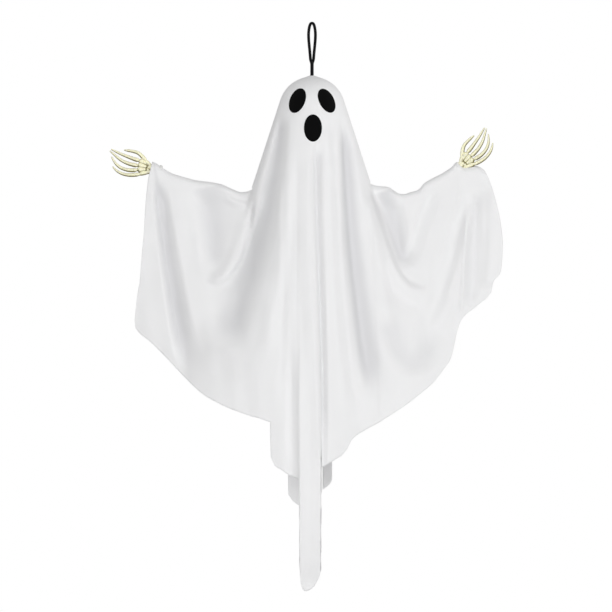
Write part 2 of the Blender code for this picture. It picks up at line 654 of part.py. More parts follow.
def arm_route(side):
    """The wire's centre line from the chest hub to its end inside the hand."""
    reach, rise, _, shares = arm_side(side)
    root = Vector((side * (HUB_D / 2 + RUNNING_GAP), 0, CHEST_Z))
    bends = [Vector((side * out * reach, 0, CHEST_Z + up * rise)) for out, up in shares]
    mouth = wrist_point(side) - hand_axis(side) * STUB_LENGTH
    bends = [bend for bend in bends if (bend - mouth).length > STUB_LENGTH / 2]
    route = smooth_route([root, *bends, mouth], ROUTE_POINTS)
    return [*route, mouth + hand_axis(side) * (SOCKET_DEPTH - GAP)]


def arm_wire(side, name):
    route = arm_route(side)
    points, faces = swept(route, [WIRE_D / 2] * len(route), 10)
    local = [p - Vector((0, 0, CHEST_Z)) for p in points]
    return add_object(name, mesh_from(name, local, faces), WIRE_STEEL, Matrix.Translation((0, 0, CHEST_Z)))


def arm_sleeve(side, name):
    """Plastic sleeve slipped over the wire, which the cloth hangs on."""
    route = arm_route(side)[:-1]
    inside = [p for p in route if abs(p.x) > SLEEVE_START][:-1]
    points, faces = tube(inside, SLEEVE_D / 2, WIRE_D / 2 + GAP, 12)
    return add_object(name, mesh_from(name, points, faces), SLEEVE_WHITE)


def wrist_tie(side, name):
    """Band that gathers the cloth round the hand's stub."""
    bore = STUB_D / 2 + GAP
    half = TIE_W / 2
    lip = TIE_T / 3
    outline = [
        (bore, -half), (bore + TIE_T - lip, -half), (bore + TIE_T, lip - half),
        (bore + TIE_T, half - lip), (bore + TIE_T - lip, half), (bore, half),
    ]
    points, faces = revolve(outline, 28)
    turn = Vector((0, 0, 1)).rotation_difference(hand_axis(side)).to_matrix().to_4x4()
    middle = wrist_point(side) - hand_axis(side) * STUB_LENGTH * TIE_PLACE_SHARE
    return add_object(name, mesh_from(name, points, faces), TAPE_WHITE, Matrix.Translation(middle) @ turn)


def hand_frame(side):
    """Columns: along the hand, depth, towards the thumb; the left hand's frame is mirrored."""
    along = hand_axis(side)
    thumb = Vector((-along.z, 0, along.x)) * (1 if side > 0 else -1)
    depth = Vector((0, 1, 0))
    turn = Matrix((along, depth, thumb)).transposed().to_4x4()
    return Matrix.Translation(wrist_point(side)) @ turn


def finger(shares):
    """A bone chain that swells at its joints and curls away towards its tip."""
    knots = []
    for out, across, _ in shares:
        curl = CURL_SHARE * max(out - CURL_START_SHARE, 0) ** CURL_POWER
        curl -= ARCH_SHARE * math.sin(math.pi * min(out / ARCH_END_SHARE, 1))
        knots.append(Vector((out, curl, across)) * HAND_LENGTH)
    count = FINGER_RINGS
    path = smooth_route(knots, count)
    lengths = [0.0]
    for a, b in zip(knots, knots[1:], strict=False):
        lengths.append(lengths[-1] + (b - a).length)
    wide = np.interp(np.linspace(0, lengths[-1], count), lengths, [share for _, _, share in shares])
    radii = [BONE_D / 2 * share for share in wide]
    radii[0] *= END_TAPER_SHARE
    return swept(path, radii, FINGER_SIDES)


def carpal_block(shares):
    """One rounded lump of the wrist's bones."""
    out, across, length, depth, width = shares
    work = bmesh.new()
    bmesh.ops.create_uvsphere(work, u_segments=12, v_segments=6, radius=1)
    size = Matrix.Diagonal((length * HAND_LENGTH, depth * HAND_LENGTH, width * HAND_LENGTH, 1))
    move = Matrix.Translation(Vector((out, -ARCH_SHARE / 3, across)) * HAND_LENGTH)
    bmesh.ops.transform(work, matrix=move @ size, verts=work.verts)
    data = bpy.data.meshes.new("carpal")
    work.to_mesh(data)
    work.free()
    return data


def hand(side, name):
    """One-piece moulded skeleton hand on a round stub with the wire's socket."""
    start = Vector((-STUB_LENGTH, 0, 0))
    end = Vector((STUB_LENGTH * STUB_ROOT_SHARE, 0, 0))
    path = [start.lerp(end, share) for share, _ in STUB_RING_SHARES]
    radii = [STUB_D / 2 * share for _, share in STUB_RING_SHARES]
    made = add_object(name, mesh_from(name, *swept(path, radii, 20)), BONE_PLASTIC)
    lumps = [carpal_block(shares) for shares in CARPAL_SHARES]
    lumps += [mesh_from("bone", *finger(shares)) for shares in FINGER_SHARES.values()]
    for lump in lumps:
        apply_boolean(made, add_object("lump", lump, BONE_PLASTIC), "UNION")
    bore = WIRE_D / 2 + GAP
    mouth = Vector((-STUB_LENGTH - CUT_OVERRUN, 0, 0))
    floor = Vector((SOCKET_DEPTH - STUB_LENGTH, 0, 0))
    socket = mesh_from("socket", *swept((mouth, floor), (bore, bore), 14))
    apply_boolean(made, add_object("socket", socket, BONE_PLASTIC), "DIFFERENCE")
    weld(made.data)
    frame = hand_frame(side)
    turn = Matrix.Rotation(math.atan2(-hand_axis(side).z, hand_axis(side).x), 4, "Y")
    place = Matrix.Translation(wrist_point(side)) @ turn
    made.data.transform(place.inverted() @ frame)
    if side < 0:
        made.data.flip_normals()
    made.data.materials.clear()
    made.data.materials.append(material(BONE_PLASTIC))
    made.matrix_world = place
    return made


def cone_radius(z):
    """Outer radius of the head's cloth: a dome that runs into a cone."""
    z = np.asarray(z, float)
    dome = np.sqrt(np.maximum(DOME_R**2 - (z - BALL_Z) ** 2, 0))
    cone = CONE_TOP_R + (CONE_TOP_Z - z) * math.tan(CONE)
    return np.where(z > CONE_TOP_Z, dome, cone)


def picture_place(point):
    """X and Z of a place in picture pixels."""
    across, down = point
    size = LEFT_REACH / LEFT_REACH_PX if across < AXIS_PX else RIGHT_REACH / RIGHT_REACH_PX
    return (across - AXIS_PX) * size, CROWN_Z - (down - CROWN_PX) * TAIL_DROP / TAIL_DROP_PX


def share_place(point):
    """X and Z of a place in shares of the right reach and of the tail's drop."""
    out, down = point
    return out * RIGHT_REACH, CROWN_Z - down * TAIL_DROP


def down_share(z):
    """Share of the tail's drop below the crown."""
    return (CROWN_Z - np.asarray(z, float)) / TAIL_DROP


def smoothstep(value):
    value = np.clip(value, 0, 1)
    return value * value * (3 - 2 * value)


def smooth_max(one, other, radius):
    """The larger of two depths, rounded where they meet."""
    mix = np.clip(0.5 + 0.5 * (one - other) / radius, 0, 1)
    return other + (one - other) * mix + radius * mix * (1 - mix)


def flowing(value, table):
    """Values between a table's rows on a smooth curve, and the end rows' values beyond them."""
    place, height = np.array(table).T
    slope = np.gradient(height, place)
    slope[[0, -1]] = 0
    held = np.clip(value, place[0], place[-1])
    i = np.clip(np.searchsorted(place, held, side="right") - 1, 0, len(place) - 2)
    run = place[i + 1] - place[i]
    t = (held - place[i]) / run
    bend = run * t * (1 - t) * ((1 - t) * slope[i] - t * slope[i + 1])
    return height[i] + (height[i + 1] - height[i]) * smoothstep(t) + bend


def fold_height(x, z, fold):
    """Forward push of one fold at front view places: a bump along its path with unlike sides."""
    path, height, right, left, ends = fold
    knots = np.array([picture_place(p) for p in path])
    nearest = np.full(x.shape, np.inf)
    along, sided = np.zeros(x.shape), np.zeros(x.shape)
    for i, (a, b) in enumerate(zip(knots[:-1], knots[1:], strict=True)):
        run = b - a
        length = math.hypot(*run)
        held = np.clip(((x - a[0]) * run[0] + (z - a[1]) * run[1]) / length**2, 0, 1)
        off_x, off_z = x - a[0] - held * run[0], z - a[1] - held * run[1]
        away = np.hypot(off_x, off_z)
        closer = away < nearest
        nearest = np.where(closer, away, nearest)
        along = np.where(closer, (i + held) / (len(knots) - 1), along)
        sided = np.where(closer, (run[0] * off_z - run[1] * off_x) / length, sided)
    mix = smoothstep(0.5 + 0.5 * sided / np.maximum(nearest, WELD_DISTANCE))
    right_width, left_width = np.interp(along, (0, 1), right), np.interp(along, (0, 1), left)
    width = (left_width + (right_width - left_width) * mix) * FOLD_WIDTH
    fade = smoothstep(along / ends[0]) * smoothstep((1 - along) / ends[1])
    return height * FOLD_DEPTH * fade * smoothstep(1 - nearest / width)


def front_relief(x, z):
    return sum(fold_height(x, z, fold) for fold in FRONT_FOLDS)


def back_relief(x, z):
    """Even waves that deepen towards the hem."""
    out = x / np.where(x < 0, LEFT_REACH, RIGHT_REACH)
    down = down_share(z)
    wave = np.cos(math.pi * BACK_WAVES * out + math.pi * down)
    return FOLD_DEPTH * BACK_WAVE_SHARE * wave * smoothstep((down - BACK_WAVE_START_SHARE) / BACK_WAVE_RISE_SHARE)


def middle_depth(z, face):
    """Depth of the cloth in the middle of its front, where face is -1, or its back."""
    table = FRONT_DEPTH_SHARES if face < 0 else BACK_DEPTH_SHARES
    return np.minimum(cone_radius(z), DOME_R * flowing(down_share(z), table))


def hood_depth(x, z, face):
    """Depth of the hood, whose rows are half ellipses."""
    share = x / np.maximum(cone_radius(z), WELD_DISTANCE)
    return middle_depth(z, face) * np.sqrt(np.maximum(1 - share**2, 0))


def body_depth(x, z, drop, face):
    """Depth of the middle's bulge, which leaves the hood's section on the way down."""
    down = down_share(z)
    edge = flowing(down, BACK_EDGE_SHARES)
    if face < 0:
        edge = np.where(x < 0, flowing(down, LEFT_EDGE_SHARES), flowing(down, RIGHT_EDGE_SHARES))
    out = np.clip(np.abs(x) / (edge * skirt_half_width()), 0, 1)
    free = middle_depth(z, face) * (1 - out**2) ** flowing(down, SECTION_POWER_SHARES)
    return free + (hood_depth(x, z, face) - free) * (1 - smoothstep(drop / BLEND_DROP))


def wrap_depth(drop, cover):
    """Depth of the cloth's turn over an arm, whose section reaches the cover's length down."""
    return COVER_R * np.sqrt(1 - (1 - np.clip(drop / cover, 0, 1)) ** 2)


def cloth_depth(x, z, drop, face, cover=COVER_R):
    """Depth of the cloth before or behind the arms' plane, with its folds, a drop below its top."""
    x, z = np.asarray(x, float), np.asarray(z, float)
    reach = np.where(x < 0, LEFT_REACH, RIGHT_REACH)
    wrap = wrap_depth(drop, cover)
    swell = SWELL_DEPTH * flowing(np.abs(x) / reach, SWELL_SHARES) * smoothstep(drop / SWELL_DROP)
    soft = JOIN_SOFT * (JOIN_MIN_SHARE + smoothstep(drop / JOIN_DROP))
    depth = smooth_max(body_depth(x, z, drop, face), wrap + swell, soft)
    side = np.abs(x) / np.maximum(cone_radius(z), WELD_DISTANCE)
    outside = smoothstep((side - SIDE_FADE_SHARE) / (1 - SIDE_FADE_SHARE))
    fade = cone_share(z) * (1 - outside) + smoothstep(drop / FADE_DROP) * outside
    relief = front_relief(x, z) if face < 0 else back_relief(x, z)
    return np.maximum(depth + relief * fade, wrap * MIN_WRAP_SHARE)


def slit_z():
    return CHEST_Z + SLIT_RISE


def skirt_half_width():
    return float(cone_radius(slit_z()))


def shell(name, rows, thickness_side):
    """A closed sheet: grids of points joined into one surface, then thickened inwards."""
    points, faces = rows
    data = bpy.data.meshes.new(name)
    data.from_pydata([tuple(p) for p in points], [], faces)
    made = add_object(name, data, CLOTH_WHITE)
    work = bmesh.new()
    work.from_mesh(data)
    bmesh.ops.remove_doubles(work, verts=work.verts, dist=WELD_DISTANCE)
    bmesh.ops.recalc_face_normals(work, faces=work.faces)
    for face in work.faces:
        face.smooth = True
    work.to_mesh(data)
    work.free()
    thick = made.modifiers.new("thickness", "SOLIDIFY")
    thick.thickness = CLOTH_T
    thick.offset = thickness_side
    return made


def grid_faces(rows, columns, closed=False, start=0):
    faces = []
    for r in range(rows - 1):
        for c in range(columns if closed else columns - 1):
            n = (c + 1) % columns
            faces.append((start + r * columns + c, start + r * columns + n,
                          start + (r + 1) * columns + n, start + (r + 1) * columns + c))
    return faces


def cap_levels():
    """Heights of the rings from the cord's hole over the dome and down the cone to the top of the cuts."""
    last = math.pi / 2 - CONE
    turns = [last * share for share in CAP_TURN_SHARES]
    levels = [BALL_Z + DOME_R * math.cos(turn) for turn in turns]
    return levels + [CONE_TOP_Z + (slit_z() - CONE_TOP_Z) * share for share in CONE_ROW_SHARES]


def skirt_columns():
    """Turns from the front's middle, and hem places, of all columns round the skirt."""
    half = skirt_half_width()
    columns = []
    for turn, out, down in (*FRONT_COLUMN_SHARES, *BACK_COLUMN_SHARES):
        columns.append((turn * math.pi / 2, out * half, CROWN_Z - down * TAIL_DROP))
    return columns


def cap_ring(z, columns):
    """Points of one ring of the hood: a front and a back half ellipse of unlike depths."""
    radius = float(cone_radius(z))
    ring = []
    for turn, _, _ in columns:
        face = -1 if math.cos(turn) > 0 else 1
        x = radius * math.sin(turn)
        ring.append((x, face * float(cap_depth(x, z, face)), z))
    return ring


def cap_depth(x, z, face):
    """Depth of the hood with its folds, which die away at its sides."""
    side = np.abs(x) / cone_radius(z)
    outside = smoothstep((side - SIDE_FADE_SHARE) / (1 - SIDE_FADE_SHARE))
    relief = front_relief(np.asarray(x), np.asarray(z)) if face < 0 else 0.0
    return hood_depth(x, z, face) + relief * cone_share(z) * (1 - outside)


def cone_share(z):
    """How far folds have come in on the way down from the face."""
    return smoothstep((CONE_TOP_Z - z - MOUTH_DROP) / (CONE_TOP_Z - slit_z() - MOUTH_DROP))


def skirt_column(turn, hem_x, hem_z, shares, face):
    """Points of one skirt column below the cuts' top."""
    top_z = slit_z()
    top_x = skirt_half_width() * math.sin(turn)
    points = []
    for share in shares[1:]:
        x = top_x + (hem_x - top_x) * share
        z = top_z + (hem_z - top_z) * share
        points.append((x, face * float(cloth_depth(x, z, top_z - z, face)), z))
    return points


def skirt_end(side):
    """Hem place of the skirt's column beside a wing: how far out, then its share of the tail's drop."""
    _, out, down = FRONT_COLUMN_SHARES[0 if side < 0 else -1]
    return abs(out) * skirt_half_width(), down


def shroud_skirt():
    """The cloth over the head, with its front and back panels that hang between the side cuts."""
    columns = skirt_columns()
    count = len(columns)
    points = []
    levels = cap_levels()
    for z in levels:
        points += cap_ring(z, columns)
    faces = grid_faces(len(levels), count, closed=True)
    last = (len(levels) - 1) * count
    front = len(FRONT_COLUMN_SHARES)
    panels = (
        (list(range(front)), SKIRT_ROW_SHARES, -1),
        ([front - 1, *range(front, count), 0], BACK_ROW_SHARES, 1),
    )
    for members, shares, face in panels:
        above = [last + c for c in members]
        lists = [skirt_column(*columns[c], shares, face) for c in members]
        for row in range(len(shares) - 1):
            start = len(points)
            points += [column[row] for column in lists]
            here = list(range(start, start + len(members)))
            for k in range(len(members) - 1):
                faces.append((above[k], above[k + 1], here[k + 1], here[k]))
            above = here
    return shell("shroud_skirt", (points, faces), -1)


def wing_sizes(side):
    if side < 0:
        return LEFT_HEM_SHARES, LEFT_LIFT_SHARES, 0.0
    return RIGHT_HEM_SHARES, RIGHT_LIFT_SHARES, RIGHT_BULGE_SHARE


def mouth_x(side):
    """How far out the cloth reaches over the hand's stub."""
    stub = hand_axis(side) * STUB_LENGTH * (1 - MOUTH_SHARE)
    return abs((wrist_point(side) - stub).x)


def arm_height(side, x):
    """Height of the arm's centre line at a distance out, and its slope there."""
    route = [*arm_route(side)[:-1], wrist_point(side)]
    out = [abs(p.x) for p in route]
    height = [p.z for p in route]
    step = HUB_GROOVE
    low, here, high = np.interp((x - step, x, x + step), out, height)
    return float(here), float((high - low) / (2 * step))


def wing_edge(side, share):
    """Top and hem points of one wing column in the front view, its bulge outwards and its cover's length."""
    hem, lift, bulge = wing_sizes(side)
    reach = arm_side(side)[0]
    root = skirt_half_width() + CUT_GAP
    top_x = root + (mouth_x(side) - root) * share
    middle, slope = arm_height(side, top_x)
    cover = COVER_R * math.hypot(1, slope)
    top_z = middle + cover + COVER_R * np.interp(share, *zip(*lift, strict=True))
    end_x, end_down = skirt_end(side)
    steps, out, down = zip((0.0, (end_x + CUT_GAP) / reach, end_down), *hem, strict=True)
    hem_x = np.interp(share, steps, out) * reach
    hem_z = CROWN_Z - np.interp(share, steps, down) * TAIL_DROP
    top = (side * top_x, slit_z() if share == 0 else top_z)
    return top, (side * hem_x, hem_z), bulge * reach * share**3, cover


def wing_point(side, edge, down, face):
    """A point of the wing: face is -1 on its front and 1 on its back."""
    (top_x, top_z), (hem_x, hem_z), bulge, cover = edge
    x = top_x + (hem_x - top_x) * down + side * bulge * math.sin(math.pi * down**BULGE_POWER)
    z = top_z + (hem_z - top_z) * down
    if down == 0:
        return x, 0.0, z
    return x, face * float(cloth_depth(x, z, top_z - z, face, cover)), z


def shroud_wing(side, name):
    """The cloth that hangs over one arm, open below and round the hand; the right one reaches on past it."""
    rows = [(1, down) for down in reversed(WING_BACK_ROW_SHARES)] + [(0, 0.0)]
    rows += [(-1, down) for down in WING_ROW_SHARES]
    edges = [wing_edge(side, share) for share in WING_COLUMN_SHARES]
    flap = []
    if side > 0:
        flap = [(share_place(top), share_place(hem), bulge * RIGHT_REACH, COVER_R)
                for top, hem, bulge in RIGHT_FLAP_SHARES]
    mouth, across = len(edges) - 1, len(edges) + len(flap) - 1
    points, faces = [], []
    for face, down in rows:
        points += [wing_point(side, edge, down, face) for edge in edges]
        below = max(down - LIP_SHARE, 0) / (1 - LIP_SHARE)
        points += [wing_point(side, edge, below, face) for edge in flap]
    for i, corners in enumerate(grid_faces(len(rows), across + 1)):
        row, column = divmod(i, across)
        if column < mouth or max(rows[row][1], rows[row + 1][1]) > LIP_SHARE:
            faces.append(corners)
    return shell(name, (points, faces), -side)


def patch(name, middle_x, drop, length, width, degrees):
    """Face patch of black cloth that follows the cone's front, seated on the shroud."""
    rings = PATCH_RINGS
    lean = math.radians(degrees)
    points = []
    for thickness in (GAP, GAP + PATCH_T):
        for ring in range(rings + 1):
            count = 1 if ring == 0 else PATCH_SIDES
            for k in range(count):
                angle = 2 * math.pi * k / PATCH_SIDES
                out = width / 2 * math.sin(angle) * ring / rings
                up = length / 2 * math.cos(angle) * ring / rings
                x = middle_x + out * math.cos(lean) + up * math.sin(lean)
                z = CROWN_Z - drop - out * math.sin(lean) + up * math.cos(lean)
                points.append(on_face(x, z, thickness))
    half = len(points) // 2
    faces = []
    for shift, flip in ((0, True), (half, False)):
        for ring in range(rings):
            for k in range(PATCH_SIDES):
                n = (k + 1) % PATCH_SIDES
                outer = [shift + 1 + ring * PATCH_SIDES + i for i in (k, n)]
                if ring == 0:
                    face = (shift, *outer)
                else:
                    inner = [shift + 1 + (ring - 1) * PATCH_SIDES + i for i in (k, n)]
                    face = (inner[0], outer[0], outer[1], inner[1])
                faces.append(tuple(reversed(face)) if flip else face)
    rim = 1 + (rings - 1) * PATCH_SIDES
    for k in range(PATCH_SIDES):
        n = (k + 1) % PATCH_SIDES
        faces.append((rim + k, rim + n, half + rim + n, half + rim + k))
    return add_object(name, mesh_from(name, points, faces), PATCH_BLACK)


def on_face(x, z, out):
    """A point over the front of the head's cloth, a distance out along its normal."""
    step = PATCH_T
    slope_x = float(cap_depth(x + step, z, -1) - cap_depth(x - step, z, -1)) / (2 * step)
    slope_z = float(cap_depth(x, z + step, -1) - cap_depth(x, z - step, -1)) / (2 * step)
    normal = Vector((-slope_x, -1, -slope_z)).normalized()
    return Vector((x, -float(cap_depth(x, z, -1)), z)) + normal * out


def main():
    clear_scene()
    hanging_loop()
    loop_stem()
    loop_knot()
    knot_washer()
    head_ball()
    spine_plug()
    spine_wire()
    chest_hub()
    for side, word in ((-1, "left"), (1, "right")):
        arm_wire(side, f"{word}_arm_wire")
        arm_sleeve(side, f"{word}_arm_sleeve")
        wrist_tie(side, f"{word}_wrist_tie")
        hand(side, f"{word}_hand")
        shroud_wing(side, f"shroud_{word}_wing")
    shroud_skirt()
    patch("left_eye_patch", -EYE_SIDE, EYE_DROP, EYE_LENGTH, EYE_W, LEFT_EYE_DEG)
    patch("right_eye_patch", EYE_SIDE, EYE_DROP, EYE_LENGTH, EYE_W, RIGHT_EYE_DEG)
    patch("mouth_patch", 0.0, MOUTH_DROP, MOUTH_LENGTH, MOUTH_W, 0.0)


if __name__ == "__main__":
    main()
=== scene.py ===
"""Looks of a hanging cloth ghost: a white shroud over the head and both arms, skeleton hands, face and cord.

Metres, +Z up, the face looks along -Y, and the origin is where a hook bears inside the top of the cord loop.
Outlines and folds of the cloth are drawn over the front view in picture units, which the Picture class turns
into metres. East is the picture's right, +X, and west its left.
"""

import json
import logging
import math
from dataclasses import dataclass, field
from enum import Enum

import bmesh
import bpy
import numpy as np
from mathutils import Matrix, Vector


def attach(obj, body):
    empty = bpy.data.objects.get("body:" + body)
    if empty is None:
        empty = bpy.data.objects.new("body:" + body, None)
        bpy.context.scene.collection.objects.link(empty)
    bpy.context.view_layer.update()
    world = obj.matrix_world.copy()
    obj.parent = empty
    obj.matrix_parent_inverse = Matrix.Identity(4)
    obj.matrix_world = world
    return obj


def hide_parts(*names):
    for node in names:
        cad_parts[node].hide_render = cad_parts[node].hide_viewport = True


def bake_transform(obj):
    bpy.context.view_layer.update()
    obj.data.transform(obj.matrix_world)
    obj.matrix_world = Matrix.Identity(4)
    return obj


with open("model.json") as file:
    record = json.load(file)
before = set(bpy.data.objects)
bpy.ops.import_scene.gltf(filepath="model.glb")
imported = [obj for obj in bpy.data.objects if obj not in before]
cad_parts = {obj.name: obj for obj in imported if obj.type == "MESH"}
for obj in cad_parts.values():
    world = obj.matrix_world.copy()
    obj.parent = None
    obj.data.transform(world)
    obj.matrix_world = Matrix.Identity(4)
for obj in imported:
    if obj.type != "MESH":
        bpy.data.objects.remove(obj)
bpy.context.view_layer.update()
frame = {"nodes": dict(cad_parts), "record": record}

logging.basicConfig(level=logging.INFO, format="%(message)s")
log = logging.getLogger("ghost")

Place = tuple[float, float]
Line = tuple[Place, ...]
Triple = tuple[float, float, float]

CURVE_STEPS = 24
FOLD_POINTS = 40
MERGE = 0.000002
FINE_MERGE = 0.000001
SHARP = math.radians(40)


class Side(Enum):
    """Side of the picture that a half of the ghost is on."""

    WEST = -1
    EAST = 1

    @property
    def word(self) -> str:
        """The side as the CAD nodes name it."""
        return "left" if self is Side.WEST else "right"


class Face(Enum):
    """Front or back layer of the cloth, by the sign of its Y."""

    FRONT = -1
    BACK = 1


@dataclass(frozen=True)
class Picture:
    """The front view in picture units: Z comes down the page and X runs across it."""

    unit: float = 0.00123
    axis: float = 312.0
    hook: float = 24.7

    def x(self, across: np.ndarray | float) -> np.ndarray | float:
        """X in metres of a place across the picture."""
        return (across - self.axis) * self.unit

    def z(self, down: np.ndarray | float) -> np.ndarray | float:
        """Z in metres of a place down the picture."""
        return (self.hook - down) * self.unit


PICTURE = Picture()


def smooth(value: np.ndarray | float) -> np.ndarray | float:
    """Smoothstep of a value that is held between 0 and 1."""
    held = np.clip(value, 0.0, 1.0)
    return held * held * (3.0 - 2.0 * held)


def smooth_max(one: np.ndarray, other: np.ndarray, radius: np.ndarray | float) -> np.ndarray:
    """The larger of two depths, rounded where they meet."""
    mix = np.clip(0.5 + 0.5 * (one - other) / radius, 0.0, 1.0)
    return other + (one - other) * mix + radius * mix * (1.0 - mix)


def growing(value: np.ndarray, start: float, rise: float, run: float) -> np.ndarray:
    """A number that grows from start by rise while the value goes from 0 to run."""
    return start + rise * smooth(value / run)


def rounded_line(points: Line, count: int) -> np.ndarray:
    """Places spread evenly along a smooth curve through the given points.

    Args:
        points: places that the curve goes through.
        count: how many places to return.

    Returns:
        An array of places, one a row.
    """
    given = np.array(points, float)
    held = np.vstack([2 * given[0] - given[1], given, 2 * given[-1] - given[-2]])
    pieces = []
    for i in range(1, len(held) - 2):
        t = np.linspace(0, 1, CURVE_STEPS, endpoint=False)[:, None]
        a, b, c, d = held[i - 1 : i + 3]
        bend = (2 * a - 5 * b + 4 * c - d) * t**2 + (3 * b - a - 3 * c + d) * t**3
        pieces.append(b + 0.5 * ((c - a) * t + bend))
    dense = np.vstack([*pieces, given[-1:]])
    steps = np.concatenate([[0], np.cumsum(np.linalg.norm(np.diff(dense, axis=0), axis=1))])
    wanted = np.linspace(0, steps[-1], count)
    return np.column_stack([np.interp(wanted, steps, dense[:, k]) for k in range(given.shape[1])])


@dataclass(frozen=True)
class Fold:
    """One fold of the cloth: a long bump beside a path over the picture.

    The path is walked down the picture, east and west are the bump's widths on either side of it at its
    start and at its end, and ends says over which shares of the path it rises and dies away.
    """

    path: Line
    height: float
    east: Place
    west: Place
    ends: Place = (0.25, 0.25)

    def relief(self, across: np.ndarray, down: np.ndarray) -> np.ndarray:
        """How far the fold stands forward at places of the picture.

        Args:
            across: places across the picture.
            down: places down the picture.

        Returns:
            The relief in picture units, with zero away from the fold.
        """
        line = rounded_line(self.path, FOLD_POINTS)
        reach = max(*self.east, *self.west)
        low, high = line.min(0) - reach, line.max(0) + reach
        near = (across > low[0]) & (across < high[0]) & (down > low[1]) & (down < high[1])
        found = np.zeros(across.shape)
        if not near.any():
            return found
        x, y = across[near], down[near]
        best = np.full(x.shape, np.inf)
        along, signed = np.zeros(x.shape), np.zeros(x.shape)
        for i, (start, end) in enumerate(zip(line[:-1], line[1:], strict=True)):
            run = end - start
            length = float(np.hypot(*run))
            share = np.clip(((x - start[0]) * run[0] + (y - start[1]) * run[1]) / length**2, 0, 1)
            off_x = x - start[0] - share * run[0]
            off_y = y - start[1] - share * run[1]
            away = np.hypot(off_x, off_y)
            closer = away < best
            best = np.where(closer, away, best)
            along = np.where(closer, (i + share) / (len(line) - 1), along)
            signed = np.where(closer, (off_x * run[1] - off_y * run[0]) / length, signed)
        mix = smooth(0.5 + 0.5 * signed / np.maximum(best, 1e-6))
        east, west = np.interp(along, (0, 1), self.east), np.interp(along, (0, 1), self.west)
        fade = smooth(along / self.ends[0]) * smooth((1 - along) / self.ends[1])
        found[near] = self.height * fade * smooth(1 - best / (west + (east - west) * mix))
        return found


WEST_FOLDS = (
    Fold(((153, 160), (154.5, 168), (156.5, 178), (158, 190)), -5, (3, 5), (3, 3), (0.1, 0.5)),
    Fold(((157, 163), (159, 172), (162, 186)), 1.4, (2.5, 4), (2.5, 4), (0.1, 0.5)),
    Fold(((156, 174), (159, 200), (164, 240), (170, 280), (177, 320), (184, 352), (193, 382)),
         -9.5, (11, 20), (6, 11), (0.08, 0.25)),
    Fold(((206, 183), (210, 205), (213, 235), (214, 276)), -7.5, (38, 16), (25, 14), (0.08, 0.3)),
    Fold(((262, 188), (257, 205), (251, 226), (244, 246), (236, 263), (226, 275.5), (215, 281), (205, 279)),
         5, (6, 5), (20, 10), (0.25, 0.12)),
    Fold(((282, 108), (279, 140), (274, 170), (268, 200), (260, 235), (250, 268), (241, 298), (232, 325),
          (222, 350)),
         -8, (9, 24), (8, 32), (0.1, 0.12)),
    Fold(((290, 128), (289, 160), (287, 200), (283, 245), (276, 290), (268, 330), (260, 370), (254, 400)),
         3, (8, 14), (10, 20)),
    Fold(((222, 191), (231, 199), (242, 204), (253, 202)), 2.6, (4, 4), (8, 8), (0.2, 0.4)),
    Fold(((203, 186), (214, 192), (226, 196)), 1.2, (3, 3), (6, 6), (0.3, 0.3)),
)
MIDDLE_FOLDS = (
    Fold(((297.5, 148), (297.5, 200), (297, 250), (296.5, 330)), -0.7, (1.8, 1.8), (1.8, 1.8)),
    Fold(((283, 150), (284, 240), (283, 330), (282, 410)), -0.8, (5, 6), (4, 5)),
    Fold(((290.5, 300), (291.5, 360), (292, 420), (292, 505)), -2.5, (5, 6), (7, 9), (0.5, 0.02)),
    Fold(((299.5, 290), (299.5, 360), (299, 420), (299, 600)), 2.6, (13, 13), (2.5, 1.2), (0.4, 0.02)),
    Fold(((308.5, 146), (308, 200), (310.5, 260), (312.5, 300), (315, 340), (316.5, 380), (318, 420),
          (320, 470)),
         1.8, (2.5, 2), (12, 14), (0.1, 0.1)),
    Fold(((315.5, 142), (316, 200), (318, 260), (319.5, 300), (321, 340), (322, 380), (322.5, 420),
          (322.8, 500)),
         -6, (9, 5), (4, 3), (0.06, 0.3)),
    Fold(((333, 112), (335, 140), (337, 170), (338.5, 200), (340.5, 250), (343, 290), (346, 325), (350, 360),
          (354, 395), (357, 425)),
         3, (4, 7), (7, 13), (0.12, 0.15)),
    Fold(((341, 112), (343, 140), (345, 170), (347, 200), (351, 250), (357, 300), (363, 345), (369, 375),
          (374, 404)),
         -11.5, (12, 27), (5, 13), (0.14, 0.16)),
)
EAST_FOLDS = (
    Fold(((362, 182), (366, 200), (372, 230), (379, 262), (385, 295), (391, 325), (398, 352)),
         2.5, (8, 9), (9, 12)),
    Fold(((370, 194), (374, 207), (379.5, 225), (385, 244), (391, 261), (398, 275), (408, 286), (420, 290.5),
          (432, 288)),
         8, (5, 6), (12, 20), (0.12, 0.25)),
    Fold(((382, 189), (388, 210), (394, 230), (400, 251), (408, 270)), -9, (22, 12), (14, 9), (0.06, 0.2)),
    Fold(((432, 188), (424, 212), (416, 236), (409, 258), (406, 274)), -3.6, (13, 12), (8, 8), (0.1, 0.25)),
    Fold(((470, 184), (459, 222), (449, 258), (437, 298), (426, 328), (418, 350)),
         -3.6, (10, 16), (9, 14), (0.12, 0.25)),
    Fold(((474, 196), (465, 235), (456, 270), (447, 298), (437, 322), (427, 346)),
         2, (8, 12), (7, 8), (0.2, 0.3)),
    Fold(((384, 308), (390, 335), (398, 353), (409, 362), (421, 359), (431, 344), (441, 320)),
         -5.5, (30, 26), (14, 18), (0.2, 0.3)),
    Fold(((466, 205), (464.5, 250), (462, 290), (459, 318)), 2, (5, 5), (3.5, 4), (0.2, 0.1)),
    Fold(((476, 184), (475, 215), (474, 250), (472, 285), (469, 308)), -4.5, (9, 9), (9, 9), (0.15, 0.1)),
    Fold(((489, 176), (492, 215), (491, 250), (486, 292)), 4, (14, 14), (9, 9), (0.12, 0.1)),
)
FRONT_FOLDS = WEST_FOLDS + MIDDLE_FOLDS + EAST_FOLDS


